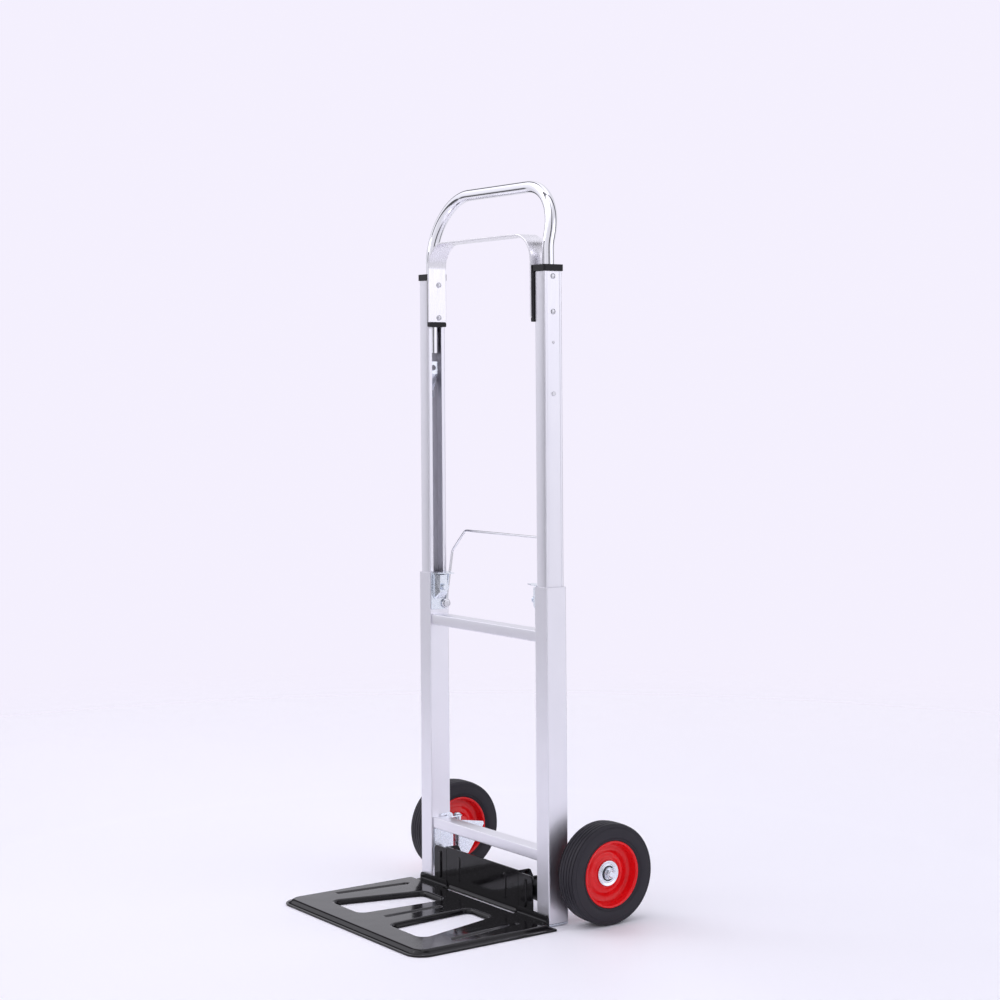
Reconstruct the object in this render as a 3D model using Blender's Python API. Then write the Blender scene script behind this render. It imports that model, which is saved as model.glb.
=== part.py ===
"""Folding aluminium hand truck, opened for use and standing on its wheels and toe plate.

Metres, +Z up, +X to the right seen from the front, -Y to the front, the side of the toe plate.
The origin is on the floor under the middle of the whole truck. Below, every place is written
in truck coordinates, whose origin is on the floor midway between the two rails: the empty
"truck" carries them, RAIL_Y behind the object's origin.
"""

import math

import bmesh
import bpy
from mathutils import Matrix, Vector

# ---- clearances and steps ----
GAP = 0.0003
SLIDE_GAP_Y = 0.0004
SLIDE_GAP_X = 0.0012
HOLE_GAP = 0.0003
SMOOTH_ANGLE = math.radians(38)
ROUND_STEPS = 12

# ---- telescopic rails ----
RAIL_SPREAD = 0.3426
LOWER_WIDTH = 0.030
LOWER_DEPTH = 0.036
LOWER_WALL = 0.0016
LOWER_TOP = 0.500
LOWER_BOTTOM = 0.004
LOWER_EDGE = 0.002
FOOT_BOTTOM = 0.0012
PLUG_HEIGHT = 0.014
UPPER_WALL = 0.0016
UPPER_WEB = 0.0022
UPPER_EDGE = 0.0012
UPPER_GROOVE_DEPTH = 0.0006
UPPER_GROOVE_MARGIN = 0.004
UPPER_SLOT = 0.018
UPPER_REACH = 0.4676
RAIL_OVERLAP = 0.070
BUSH_FLANGE = 0.008
BUSH_PLUG = 0.024

# ---- crossbars ----
BAR_DEPTH = 0.025
BAR_HEIGHT = 0.0167
BAR_WALL = 0.0012
BAR_SETBACK = 0.0025
MID_BAR_TOP = 0.434
LOW_BAR_RISE = 0.034

# ---- handle and brace ----
HANDLE_RADIUS = 0.0092
HANDLE_WALL = 0.0015
HANDLE_REACH = 0.1328
HANDLE_BEND = 0.078
HANDLE_LEAN = math.radians(12.5)
HANDLE_KINK = 0.040
HANDLE_KINK_BEND = 0.060
HANDLE_TAIL = 0.116
CAP_HEIGHT = 0.0098
CAP_OVERHANG = 0.0020
CAP_CORNER = 0.0025
SKIRT_THICKNESS = 0.0038
SKIRT_WIDTH = 0.032
SKIRT_Y = -0.002
BRACE_WIDTH = 0.034
BRACE_THICKNESS = 0.003
BRACE_Y = -0.003
BRACE_RISE = 0.0555
BRACE_DROP = 0.067
BRACE_BEND = 0.038
BRACE_LEDGE = 0.0075
RIVET_RADIUS = 0.002
RIVET_HEAD = 0.0042
RIVET_DROPS = (0.0075, 0.0600)

# ---- catches in the upper rails ----
SLIDE_MARGIN = 0.1176
PIN_RADIUS = 0.004
PIN_DROP = 0.022
PIN_Y = -0.002
CATCH_WIDTH = 0.014
CATCH_SHEET = 0.0015
CATCH_TAB = 0.012
CATCH_RAMP = 0.026
CATCH_TOP = 0.020
CATCH_PROUD = 0.0155
CATCH_RIVET_RADIUS = 0.0022
CATCH_RIVET_HEAD = 0.0036

# ---- release: bracket, bail, lock pins ----
BRACKET_SHEET = 0.0012
BRACKET_DROP = 0.059
BRACKET_INSET = 0.0015
BRACKET_CORNER = 0.003
LIP_REACH = 0.034
LIP_TIP = 0.005
HAT_DEPTH = 0.0155
HAT_TOP_DROP = 0.003
HAT_FULL_DROP = 0.030
HAT_BOTTOM_DROP = 0.0412
HAT_TAPER = 0.35
HAT_FOOT = 0.0105
HAT_FACE = 0.0070
BAIL_RADIUS = 0.002
BAIL_EYE_DROP = 0.050
BAIL_EYE_INSET = 0.008
BAIL_EYE_RADIUS = 0.0078
BAIL_RISE = 0.1175
BAIL_SHOULDER = 0.084
BAIL_NARROWING = 0.0295
BAIL_BENDS = (0.012, 0.010)
BAIL_LEAN = math.radians(9)
STUD_RADIUS = 0.0035
STUD_HEAD = 0.0062
STUD_HEAD_THICKNESS = 0.0022
COLLAR_SETBACK = 0.0040
COLLAR_THICKNESS = 0.0015
COLLAR_RADIUS = 0.0056
PIN_TAIL = 0.0055
PIN_HEAD_THICKNESS = 0.002
PIN_TIP_GAP = 0.0008
SPRING_WIRE = 0.0005
SPRING_TURNS = 4

# ---- toe plate ----
PLATE_WIDTH = 0.389
PLATE_REACH = 0.2661
PLATE_CORNER = 0.028
PLATE_REAR_CORNER = 0.004
PLATE_SHEET = 0.0022
PLATE_CROWN = 0.0085
PLATE_RIM = 0.0028
PLATE_SHOULDER = 0.012
PLATE_GAP = 0.001
UPSTAND_TOP = 0.0175
UPSTAND_CORNER = 0.005
UPSTAND_LAP = 0.004
PANEL_TOP = 0.0705
PANEL_HALF_WIDTH = 0.0975
PANEL_RAMP_TOP = 0.0182
PANEL_RAMP_REACH = 0.011
EAR_HALF_WIDTH = 0.1315
EAR_BOTTOM = 0.010
EAR_CORNER = 0.008
EAR_RIB_X = 0.1140
EAR_RIB_RADIUS = 0.0035
EAR_DROP = 0.0025
CHEEK_RADIUS = 0.0125
CHEEK_CORNER = 0.006
SLOT_FRONT = 0.211
SLOT_REAR = 0.068
SLOT_FRONT_X = (0.043, 0.127)
SLOT_REAR_X = (0.034, 0.092)
SLOT_CORNER = 0.011
SLOT_WALL = 0.0015
SLOT_FLARE = 0.0065
BEAD_HALF_WIDTH = 0.006
BEAD_DEPTH = 0.0012
SIDE_BEAD = ((0.162, -0.178), (0.150, -0.062))
MIDDLE_BEAD = ((0, -0.190), (0, -0.100))
HINGE_Y = 0.003
HINGE_Z = 0.042
HINGE_PIN_RADIUS = 0.005
HINGE_PIN_HEAD = 0.008
HINGE_PIN_TAIL = 0.004
HINGE_BUSH_RADIUS = 0.0165
HINGE_BUSH_EDGE = 0.0015
KNOB_RADIUS = 0.0035
KNOB_SHARES = (0.3, 0.75)

# ---- wheels and their brackets ----
WHEEL_RADIUS = 0.075
WHEEL_WIDTH = 0.040
WHEEL_GAP = 0.0084
AXLE_Y = 0.065
AXLE_RADIUS = 0.005
AXLE_HEAD_RADIUS = 0.0075
AXLE_HEAD = 0.004
AXLE_TAIL = 0.0015
HUB_RADIUS = 0.0494
HUB_WIDTH = 0.035
HUB_LIP = 0.0030
HUB_BOSS_OUT = 0.0060
HUB_BOSS_IN = 0.0180
SPACER_RADIUS = 0.0085
WASHER_RADIUS = 0.0085
WASHER_THICKNESS = 0.0012
NUT_RADIUS = 0.0072
NUT_THICKNESS = 0.0045
BEARING_RADIUS = 0.0082
BEARING_FLANGE = 0.019
FLANGE_THICKNESS = 0.0022
SWING_INSET = 0.0233
SWING_Y = 0.036
SWING_PIN_RADIUS = 0.003
SWING_HEAD_RADIUS = 0.0055
BARREL_RADIUS = 0.006
SWING_SHEET = 0.002
SWING_PLATE_SHIFT = 0.001
SWING_REAR = 0.024
SWING_RISE = 0.021
SWING_REAR_RISE = 0.013
WHEEL_BRACKET_SHEET = 0.002
WHEEL_BRACKET_BOTTOM = 0.034
WHEEL_BRACKET_RISE = 0.031
WHEEL_BRACKET_FRONT = -0.014
WHEEL_BRACKET_HORN = 0.007
BRACKET_CHAMFER = 0.004
LUG_SHEET = 0.002
LUG_RADIUS = 0.008
LUG_GAP = 0.0008

# ---- places that follow from the sizes above ----
RAIL_X = RAIL_SPREAD / 2 - LOWER_WIDTH / 2
LOW_BAR_TOP = WHEEL_RADIUS + LOW_BAR_RISE
WHEEL_BRACKET_TOP = WHEEL_RADIUS + WHEEL_BRACKET_RISE
SWING_TOP = WHEEL_RADIUS + SWING_RISE
SWING_REAR_TOP = WHEEL_RADIUS + SWING_REAR_RISE
RAIL_INNER_X = RAIL_X - LOWER_WIDTH / 2
RAIL_FRONT = -LOWER_DEPTH / 2
UPPER_WIDTH = LOWER_WIDTH - 2 * (LOWER_WALL + SLIDE_GAP_X)
UPPER_DEPTH = LOWER_DEPTH - 2 * (LOWER_WALL + SLIDE_GAP_Y)
UPPER_TOP = LOWER_TOP + UPPER_REACH
UPPER_BOTTOM = LOWER_TOP - RAIL_OVERLAP
UPPER_INNER_X = RAIL_X - UPPER_WIDTH / 2
WEB_INSIDE_X = RAIL_X + UPPER_WIDTH / 2 - UPPER_WEB
BAR_Y = RAIL_FRONT + BAR_SETBACK + BAR_DEPTH / 2
SKIRT_X = UPPER_INNER_X - GAP - SKIRT_THICKNESS
BRACE_X = SKIRT_X - GAP - BRACE_THICKNESS
PIN_Z = LOWER_TOP - PIN_DROP
BAIL_EYE_Y = LOWER_DEPTH / 2 - BAIL_EYE_INSET
BAIL_EYE_Z = LOWER_TOP - BAIL_EYE_DROP
SLIDE_TRAVEL = UPPER_REACH - SLIDE_MARGIN
BRACKET_X = RAIL_INNER_X - GAP - BRACKET_SHEET
HAT_X = BRACKET_X - HAT_DEPTH + BRACKET_SHEET
EYE_X = BRACKET_X - GAP - BAIL_RADIUS
COLLAR_X = BRACKET_X - COLLAR_SETBACK
TIP_X = WEB_INSIDE_X - CATCH_PROUD - PIN_TIP_GAP
CATCH_Z = PIN_Z + SLIDE_TRAVEL - CATCH_TOP / 2 - CATCH_RAMP - CATCH_TAB
RIVET_OUTSIDE_X = RAIL_X + UPPER_WIDTH / 2 - UPPER_GROOVE_DEPTH + GAP
UPSTAND_BACK = RAIL_FRONT - PLATE_GAP
UPSTAND_FRONT = UPSTAND_BACK - PLATE_SHEET
WHEEL_X = RAIL_SPREAD / 2 + WHEEL_GAP + WHEEL_WIDTH / 2
SWING_X = RAIL_SPREAD / 2 - SWING_INSET
SWING_PLATE_X = SWING_X + SWING_PLATE_SHIFT
WHEEL_BRACKET_X = RAIL_INNER_X - GAP - WHEEL_BRACKET_SHEET
RAIL_Y = (PLATE_REACH - AXLE_Y - WHEEL_RADIUS) / 2
SIDES = (("left", -1), ("right", 1))


# ---- materials ----
def material(name, colour, roughness, metallic):
    made = bpy.data.materials.new(name)
    made.use_nodes = True
    shader = made.node_tree.nodes["Principled BSDF"]
    shader.inputs["Base Color"].default_value = (*colour, 1)
    shader.inputs["Roughness"].default_value = roughness
    shader.inputs["Metallic"].default_value = metallic
    return made


def make_materials():
    return {
        "aluminium": material("aluminium", (0.80, 0.79, 0.83), 0.34, 1.0),
        "chrome": material("chrome", (0.86, 0.86, 0.88), 0.07, 1.0),
        "zinc": material("zinc", (0.72, 0.78, 0.83), 0.28, 1.0),
        "steel": material("steel", (0.62, 0.62, 0.64), 0.32, 1.0),
        "enamel": material("enamel", (0.012, 0.011, 0.013), 0.14, 0.0),
        "plastic": material("plastic", (0.02, 0.02, 0.022), 0.45, 0.0),
        "rubber": material("rubber", (0.022, 0.021, 0.024), 0.62, 0.0),
        "paint": material("paint", (0.62, 0.012, 0.018), 0.2, 0.0),
    }


# ---- outlines: lists of 2-D points, anticlockwise ----
def arc(centre, radius, start, end, steps):
    turns = [math.radians(start + (end - start) * i / steps) for i in range(steps + 1)]
    return [(centre[0] + radius * math.cos(t), centre[1] + radius * math.sin(t)) for t in turns]


def rectangle(u0, u1, v0, v1):
    return [(u0, v0), (u1, v0), (u1, v1), (u0, v1)]


def rounded_rectangle(u0, u1, v0, v1, radius, steps=2):
    points = []
    corners = ((u1, v1, -1, -1, 0), (u0, v1, 1, -1, 90), (u0, v0, 1, 1, 180), (u1, v0, -1, 1, 270))
    for u, v, du, dv, start in corners:
        points += arc((u + du * radius, v + dv * radius), radius, start, start + 90, steps)
    return points


def circle(centre, radius, steps):
    return arc(centre, radius, 0, 360 - 360 / steps, steps - 1)


def grown(corners, distance):
    """A convex anticlockwise outline with each side moved outwards by a distance."""
    lines = []
    for (u0, v0), (u1, v1) in zip(corners, corners[1:] + corners[:1]):
        length = math.hypot(u1 - u0, v1 - v0)
        normal = ((v1 - v0) / length, (u0 - u1) / length)
        lines.append((normal, normal[0] * u0 + normal[1] * v0 + distance))
    points = []
    for ((a, b), c), ((d, e), f) in zip(lines[-1:] + lines[:-1], lines):
        det = a * e - b * d
        points.append(((c * e - b * f) / det, (a * f - c * d) / det))
    return points


def rounded(corners, radius, steps=3):
    """A convex anticlockwise outline with its corners rounded."""
    points = []
    count = len(corners)
    for i in range(count):
        before, here, after = (Vector(corners[(i + k) % count]) for k in (-1, 0, 1))
        to_before = (before - here).normalized()
        to_after = (after - here).normalized()
        half = to_before.angle(to_after) / 2
        centre = here + (to_before + to_after).normalized() * radius / math.sin(half)
        start = here + to_before * radius / math.tan(half) - centre
        sweep = math.pi - 2 * half
        for step in range(steps + 1):
            points.append(tuple(centre + Matrix.Rotation(sweep * step / steps, 2) @ start))
    return points


# ---- solids: bmesh shapes in the coordinates of whatever carries them ----
AXES = {
    "X": lambda u, v, w: (w, u, v),
    "Y": lambda u, v, w: (u, w, v),
    "Z": lambda u, v, w: (u, v, w),
}


def bridge(bm, rings, closed):
    """Side faces between neighbouring rings of vertices."""
    count = len(rings[0])
    pairs = list(zip(rings, rings[1:]))
    if closed:
        pairs.append((rings[-1], rings[0]))
    for low, high in pairs:
        for i in range(count):
            j = (i + 1) % count
            bm.faces.new((low[i], low[j], high[j], high[i]))


def loft(layers, axis="Z"):
    """A solid through outlines of equal length, given as (outline, place along the axis)."""
    bm = bmesh.new()
    rings = [[bm.verts.new(AXES[axis](u, v, w)) for u, v in outline] for outline, w in layers]
    bridge(bm, rings, closed=False)
    bm.faces.new(rings[0])
    bm.faces.new(rings[-1])
    return bm


def prism(outline, low, high, axis="Z"):
    return loft([(outline, low), (outline, high)], axis)


def pipe_prism(outer, inner, low, high, axis="Z"):
    """A straight tube, open at both ends, between two outlines of equal length."""
    bm = bmesh.new()
    place = AXES[axis]
    layers = ((outer, low), (outer, high), (inner, high), (inner, low))
    rings = [[bm.verts.new(place(u, v, w)) for u, v in outline] for outline, w in layers]
    bridge(bm, rings, closed=True)
    return bm


def turned(profile, steps, axis="X", closed=True):
    """A solid turned about an axis from (radius, place along the axis) points.

    A closed profile makes a ring. An open one is capped at both ends.
    """
    bm = bmesh.new()
    rings = []
    for radius, along in profile:
        points = circle((0, 0), radius, steps)
        rings.append([bm.verts.new(AXES[axis](u, v, along)) for u, v in points])
    bridge(bm, rings, closed)
    if not closed:
        bm.faces.new(rings[0])
        bm.faces.new(rings[-1])
    return bm


def swept(path, radius, sides, bore=0.0):
    """A round rod along a path, or with a bore a tube open at both ends."""
    bm = bmesh.new()
    points = [Vector(point) for point in path]
    before = (points[1] - points[0]).normalized()
    normal = before.orthogonal().normalized()
    outer, inner = [], []
    for i, point in enumerate(points):
        ahead = (points[min(i + 1, len(points) - 1)] - points[max(i - 1, 0)]).normalized()
        normal = (before.rotation_difference(ahead) @ normal).normalized()
        before = ahead
        side = ahead.cross(normal)
        for ring, size in ((outer, radius), (inner, bore)):
            turns = [2 * math.pi * k / sides for k in range(sides)]
            spots = [point + (normal * math.cos(t) + side * math.sin(t)) * size for t in turns]
            ring.append([bm.verts.new(spot) for spot in spots] if size else None)
    if bore:
        bridge(bm, outer + inner[::-1], closed=True)
    else:
        bridge(bm, outer, closed=False)
        bm.faces.new(outer[0])
        bm.faces.new(outer[-1])
    return bm


def bent_path(points, radii, steps):
    """A 3-D path through points with each inner corner rounded to its radius."""
    path = [Vector(points[0])]
    for i, radius in enumerate(radii, start=1):
        here = Vector(points[i])
        back = (Vector(points[i - 1]) - here).normalized()
        ahead = (Vector(points[i + 1]) - here).normalized()
        half = back.angle(ahead) / 2
        centre = here + (back + ahead).normalized() * radius / math.sin(half)
        start = here + back * radius / math.tan(half) - centre
        axis = start.cross(here - centre).normalized()
        for step in range(steps + 1):
            turn = Matrix.Rotation((math.pi - 2 * half) * step / steps, 3, axis)
            path.append(centre + turn @ start)
    path.append(Vector(points[-1]))
    return path


# ---- objects ----
MATERIALS = {}
GROUPS = {}


def make_group(name, at, parent=None):
    """An empty on a joint's axis, or the frame that carries the truck."""
    empty = bpy.data.objects.new(name, None)
    bpy.context.scene.collection.objects.link(empty)
    GROUPS[name] = (empty, Vector(at))
    if parent:
        carrier, carrier_at = GROUPS[parent]
        empty.parent = carrier
        empty.location = Vector(at) - carrier_at
    else:
        empty.location = (0, RAIL_Y, 0)


def place(name, bm, group, at=(0, 0, 0), finish=None):
    """An object from a bmesh, carried by a group, with the bmesh's origin at a truck place."""
    carrier, carrier_at = GROUPS[group]
    shift = Vector(at) - carrier_at
    bmesh.ops.translate(bm, verts=bm.verts, vec=shift)
    bmesh.ops.recalc_face_normals(bm, faces=bm.faces)
    mesh = bpy.data.meshes.new(name)
    bm.to_mesh(mesh)
    bm.free()
    mesh.shade_smooth()
    mesh.set_sharp_from_angle(angle=SMOOTH_ANGLE)
    obj = bpy.data.objects.new(name, mesh)
    obj.parent = carrier
    bpy.context.scene.collection.objects.link(obj)
    if finish:
        mesh.materials.append(MATERIALS[finish])
    return obj


def combine(obj, operation, bm, group, at=(0, 0, 0)):
    """A Boolean on an object, with a helper shape that isn't part of the truck."""
    number = len(obj.modifiers) + 1
    helper = place(f"{obj.name}_{operation.lower()}_{number}", bm, group, at)
    helper.hide_render = True
    helper.display_type = "WIRE"
    boolean = obj.modifiers.new(helper.name, "BOOLEAN")
    boolean.operation = operation
    boolean.object = helper
    boolean.solver = "EXACT"


def add(obj, bm, group, at=(0, 0, 0)):
    combine(obj, "UNION", bm, group, at)


def cut(obj, bm, group, at=(0, 0, 0)):
    combine(obj, "DIFFERENCE", bm, group, at)


def drill(obj, radius, group, axis, at, length):
    """A round hole of a length, centred on a place, along X or Z."""
    steps = ROUND_STEPS
    cut(obj, prism(circle((0, 0), radius, steps), -length / 2, length / 2, axis), group, at)


def rod(radius, low, high, axis="X", steps=ROUND_STEPS):
    return prism(circle((0, 0), radius, steps), low, high, axis)


def between(side, inner, outer):
    """The two ends along X of a piece that runs from one distance off centre to another."""
    return tuple(sorted((side * inner, side * outer)))


def turned_pin(name, profile, side, group, at, finish="steel"):
    """A pin along X, turned from a profile that is written for the right-hand side."""
    mirrored = [(radius, side * x) for radius, x in profile]
    place(name, turned(mirrored, ROUND_STEPS, closed=False), group, at, finish)


# ---- lower frame ----
def rail_section(inset, radius):
    """The lower rail's outline, moved inwards by an inset."""
    half_w, half_d = LOWER_WIDTH / 2 - inset, LOWER_DEPTH / 2 - inset
    return rounded_rectangle(-half_w, half_w, -half_d, half_d, radius)


def lower_rail(name, side):
    outer = rail_section(0, LOWER_EDGE)
    inner = rail_section(LOWER_WALL, LOWER_EDGE - LOWER_WALL / 2)
    tube = pipe_prism(outer, inner, LOWER_BOTTOM, LOWER_TOP)
    rail = place(f"lower_rail_{name}", tube, "truck", (side * RAIL_X, 0, 0), "aluminium")
    wall = side * (RAIL_INNER_X + LOWER_WALL / 2)
    for top in (MID_BAR_TOP, LOW_BAR_TOP):
        half = BAR_DEPTH / 2 + GAP
        seat = rectangle(-half, half, top - BAR_HEIGHT - GAP, top + GAP)
        cut(rail, prism(seat, -LOWER_WALL, LOWER_WALL, "X"), "truck", (wall, BAR_Y, 0))
    holes = (
        (PIN_RADIUS, PIN_Y, PIN_Z),
        (STUD_RADIUS, BAIL_EYE_Y, BAIL_EYE_Z),
        (HINGE_PIN_RADIUS, HINGE_Y, HINGE_Z),
    )
    for radius, y, z in holes:
        drill(rail, radius + HOLE_GAP, "truck", "X", (wall, y, z), 2 * LOWER_WALL)


def crossbar(name, top):
    """A tube whose ends sit in openings of the rails' inner walls, flush inside."""
    half = RAIL_INNER_X + LOWER_WALL - GAP
    outer = rounded_rectangle(-BAR_DEPTH / 2, BAR_DEPTH / 2, -BAR_HEIGHT, 0, 0.0016)
    half_d = BAR_DEPTH / 2 - BAR_WALL
    inner = rounded_rectangle(-half_d, half_d, -BAR_HEIGHT + BAR_WALL, -BAR_WALL, 0.0006)
    bar = pipe_prism(outer, inner, -half, half, "X")
    place(name, bar, "truck", (0, BAR_Y, top), "aluminium")


def rail_foot(name, side):
    """A plug in the rail's open lower end, with a flange under the wall."""
    flange = rail_section(0, LOWER_EDGE)
    plug = rail_section(LOWER_WALL + GAP, LOWER_EDGE / 2)
    top = LOWER_BOTTOM - GAP
    layers = [(flange, FOOT_BOTTOM), (flange, top), (plug, top), (plug, top + PLUG_HEIGHT)]
    place(f"rail_foot_{name}", loft(layers), "truck", (side * RAIL_X, 0, 0), "zinc")


# ---- release: bracket, bail, lock pins ----
def hat_outline(side, depth):
    """The strip of sheet that rises from the bracket's plate to a flat face and returns."""
    foot_x = BRACKET_X + BRACKET_SHEET / 2
    face_x = foot_x - depth
    strip = [(foot_x, -HAT_FOOT), (face_x, -HAT_FACE), (face_x, HAT_FACE), (foot_x, HAT_FOOT)]
    inside_x = face_x + BRACKET_SHEET
    inner = HAT_FACE - BRACKET_SHEET
    rise = HAT_FOOT - 2 * BRACKET_SHEET
    strip += [(foot_x, rise), (inside_x, inner), (inside_x, -inner), (foot_x, -rise)]
    return [(side * x, y) for x, y in strip]


def release_bracket(name, side):
    """A plate on the rail with a lip at the top and a raised hat that guides the lock pin."""
    half = LOWER_DEPTH / 2 - BRACKET_INSET
    top = LOWER_TOP + BRACKET_SHEET
    bottom = LOWER_TOP - BRACKET_DROP
    low, high = between(side, BRACKET_X, BRACKET_X + BRACKET_SHEET)
    sheet = rounded_rectangle(-half, half, bottom, top, BRACKET_CORNER)
    bracket = place(f"release_bracket_{name}", prism(sheet, low, high, "X"), "truck", finish="zinc")
    root_x, tip_x = BRACKET_X + BRACKET_SHEET / 2, BRACKET_X - LIP_REACH
    root = half - 0.001
    lip = [(root_x, -root), (root_x, root), (HAT_X, root * 0.8), (tip_x, LIP_TIP), (tip_x, -LIP_TIP)]
    lip = [(side * x, y) for x, y in lip + [(HAT_X, -root * 0.8)]]
    add(bracket, prism(lip, LOWER_TOP, top), "truck")
    depth = BRACKET_X + BRACKET_SHEET / 2 - HAT_X
    shallow = hat_outline(side, depth * HAT_TAPER)
    full = hat_outline(side, depth)
    layers = [
        (shallow, LOWER_TOP - HAT_BOTTOM_DROP),
        (full, LOWER_TOP - HAT_FULL_DROP),
        (full, LOWER_TOP - HAT_TOP_DROP),
    ]
    add(bracket, loft(layers), "truck", (0, PIN_Y, 0))
    middle = side * (BRACKET_X - HAT_DEPTH / 2)
    radius = PIN_RADIUS + HOLE_GAP
    drill(bracket, radius, "truck", "X", (middle, PIN_Y, PIN_Z), 2 * HAT_DEPTH)
    plate = side * (BRACKET_X + BRACKET_SHEET / 2)
    radius = STUD_RADIUS + HOLE_GAP
    drill(bracket, radius, "truck", "X", (plate, BAIL_EYE_Y, BAIL_EYE_Z), 4 * BRACKET_SHEET)


def bail_stud(name, side):
    """The rivet that the bail turns on: a head, then a shank that ends flush inside the rail."""
    head_x = EYE_X - BAIL_RADIUS - GAP
    profile = [
        (STUD_HEAD * 0.6, head_x - STUD_HEAD_THICKNESS),
        (STUD_HEAD, head_x - STUD_HEAD_THICKNESS / 2),
        (STUD_HEAD, head_x),
        (STUD_RADIUS, head_x),
        (STUD_RADIUS, RAIL_INNER_X + LOWER_WALL - GAP),
    ]
    turned_pin(f"bail_stud_{name}", profile, side, "truck", (0, BAIL_EYE_Y, BAIL_EYE_Z))


def release_bail():
    """A wire hoop between two eyes, leaning back in its own plane."""
    tilt = math.tan(BAIL_LEAN)
    start = (BAIL_EYE_RADIUS + STUD_RADIUS) / 2
    top_x = EYE_X - BAIL_NARROWING
    corners = [(EYE_X, start), (EYE_X, BAIL_SHOULDER), (top_x, BAIL_RISE)]
    corners += [(-x, rise) for x, rise in reversed(corners)]
    points = [(x, rise * tilt, rise) for x, rise in corners]
    path = bent_path(points, BAIL_BENDS + BAIL_BENDS[::-1], 3)
    at = (0, BAIL_EYE_Y, BAIL_EYE_Z)
    bail = place("release_bail", swept(path, BAIL_RADIUS, 8), "bail_pull", at, "chrome")
    outer = circle((0, 0), BAIL_EYE_RADIUS, ROUND_STEPS)
    inner = circle((0, 0), STUD_RADIUS + HOLE_GAP, ROUND_STEPS)
    for _, side in SIDES:
        eye = pipe_prism(outer, inner, -BAIL_RADIUS, BAIL_RADIUS, "X")
        add(bail, eye, "bail_pull", (side * EYE_X, BAIL_EYE_Y, BAIL_EYE_Z))


def lock_pin(name, side):
    """The pin that reaches through the rail's wall into the upper rail's channel."""
    tail_x = HAT_X - PIN_TAIL
    head_radius = PIN_RADIUS * 1.3
    profile = [
        (head_radius, tail_x - PIN_HEAD_THICKNESS),
        (head_radius, tail_x),
        (PIN_RADIUS, tail_x),
        (PIN_RADIUS, COLLAR_X),
        (COLLAR_RADIUS, COLLAR_X),
        (COLLAR_RADIUS, COLLAR_X + COLLAR_THICKNESS),
        (PIN_RADIUS, COLLAR_X + COLLAR_THICKNESS),
        (PIN_RADIUS, TIP_X - 0.001),
        (PIN_RADIUS - 0.001, TIP_X),
    ]
    group = f"lock_pin_slide_{name}"
    turned_pin(f"lock_pin_{name}", profile, side, group, (0, PIN_Y, PIN_Z))


def lock_spring(name, side):
    """A coil around the lock pin, between the bracket's hat and the pin's collar."""
    wire = SPRING_WIRE
    radius = PIN_RADIUS + HOLE_GAP + wire + GAP
    per_turn = 8
    steps = SPRING_TURNS * per_turn
    start = HAT_X + BRACKET_SHEET + GAP + wire
    end = COLLAR_X - GAP - wire
    path = []
    for i in range(steps + 1):
        angle = 2 * math.pi * i / per_turn
        along = start + (end - start) * i / steps
        path.append((side * along, radius * math.cos(angle), radius * math.sin(angle)))
    coil = swept(path, wire, 4)
    place(f"lock_spring_{name}", coil, "truck", (0, PIN_Y, PIN_Z), "steel")


# ---- upper frame ----
def upper_outline(side):
    """A channel that opens inwards between two lips, its web grooved on the outer face."""
    half_w, half_d = UPPER_WIDTH / 2, UPPER_DEPTH / 2
    lip = UPPER_SLOT / 2
    groove = half_d - UPPER_GROOVE_MARGIN
    inside_d = half_d - UPPER_WALL
    upper_half = [
        (-half_w, lip),
        (-half_w + UPPER_WALL, lip),
        (-half_w + UPPER_WALL, inside_d),
        (half_w - UPPER_WEB, inside_d),
    ]
    outer_half = [
        (half_w - UPPER_GROOVE_DEPTH, groove),
        (half_w, groove + UPPER_GROOVE_DEPTH),
        (half_w, half_d - UPPER_EDGE),
        (half_w - UPPER_EDGE, half_d),
        (-half_w + UPPER_EDGE, half_d),
        (-half_w, half_d - UPPER_EDGE),
    ]
    loop = outer_half + upper_half
    loop += [(u, -v) for u, v in reversed(upper_half)]
    loop += [(u, -v) for u, v in reversed(outer_half)]
    return [(side * u, v) for u, v in loop]


def upper_rail(name, side):
    shape = prism(upper_outline(side), UPPER_BOTTOM, UPPER_TOP)
    at = (side * RAIL_X, 0, 0)
    rail = place(f"upper_rail_{name}", shape, "upper_slide", at, "aluminium")
    web = side * (WEB_INSIDE_X + UPPER_WEB / 2)
    for drop in RIVET_DROPS:
        spot = (web, 0, UPPER_TOP - drop)
        drill(rail, RIVET_RADIUS + HOLE_GAP, "upper_slide", "X", spot, 2 * UPPER_WEB)
    spot = (web, 0, CATCH_Z + CATCH_TAB / 2)
    drill(rail, CATCH_RIVET_RADIUS + HOLE_GAP, "upper_slide", "X", spot, 2 * UPPER_WEB)


def slide_bush(name, side):
    """A plastic block on the upper rail's lower end, which guides it inside the lower rail."""
    half_w = LOWER_WIDTH / 2 - LOWER_WALL - SLIDE_GAP_Y
    half_d = UPPER_DEPTH / 2
    flange = rounded_rectangle(-half_w, half_w, -half_d, half_d, 0.002)
    lip_u = -UPPER_WIDTH / 2 + UPPER_WALL + GAP
    low_u, high_u = between(side, lip_u, UPPER_WIDTH / 2 - UPPER_WEB - GAP)
    half_plug = UPPER_DEPTH / 2 - UPPER_WALL - GAP
    plug = rounded_rectangle(low_u, high_u, -half_plug, half_plug, 0.002)
    top = UPPER_BOTTOM - GAP
    layers = [(flange, top - BUSH_FLANGE), (flange, top), (plug, top), (plug, top + BUSH_PLUG)]
    at = (side * RAIL_X, 0, 0)
    place(f"slide_bush_{name}", loft(layers), "upper_slide", at, "plastic")


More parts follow.
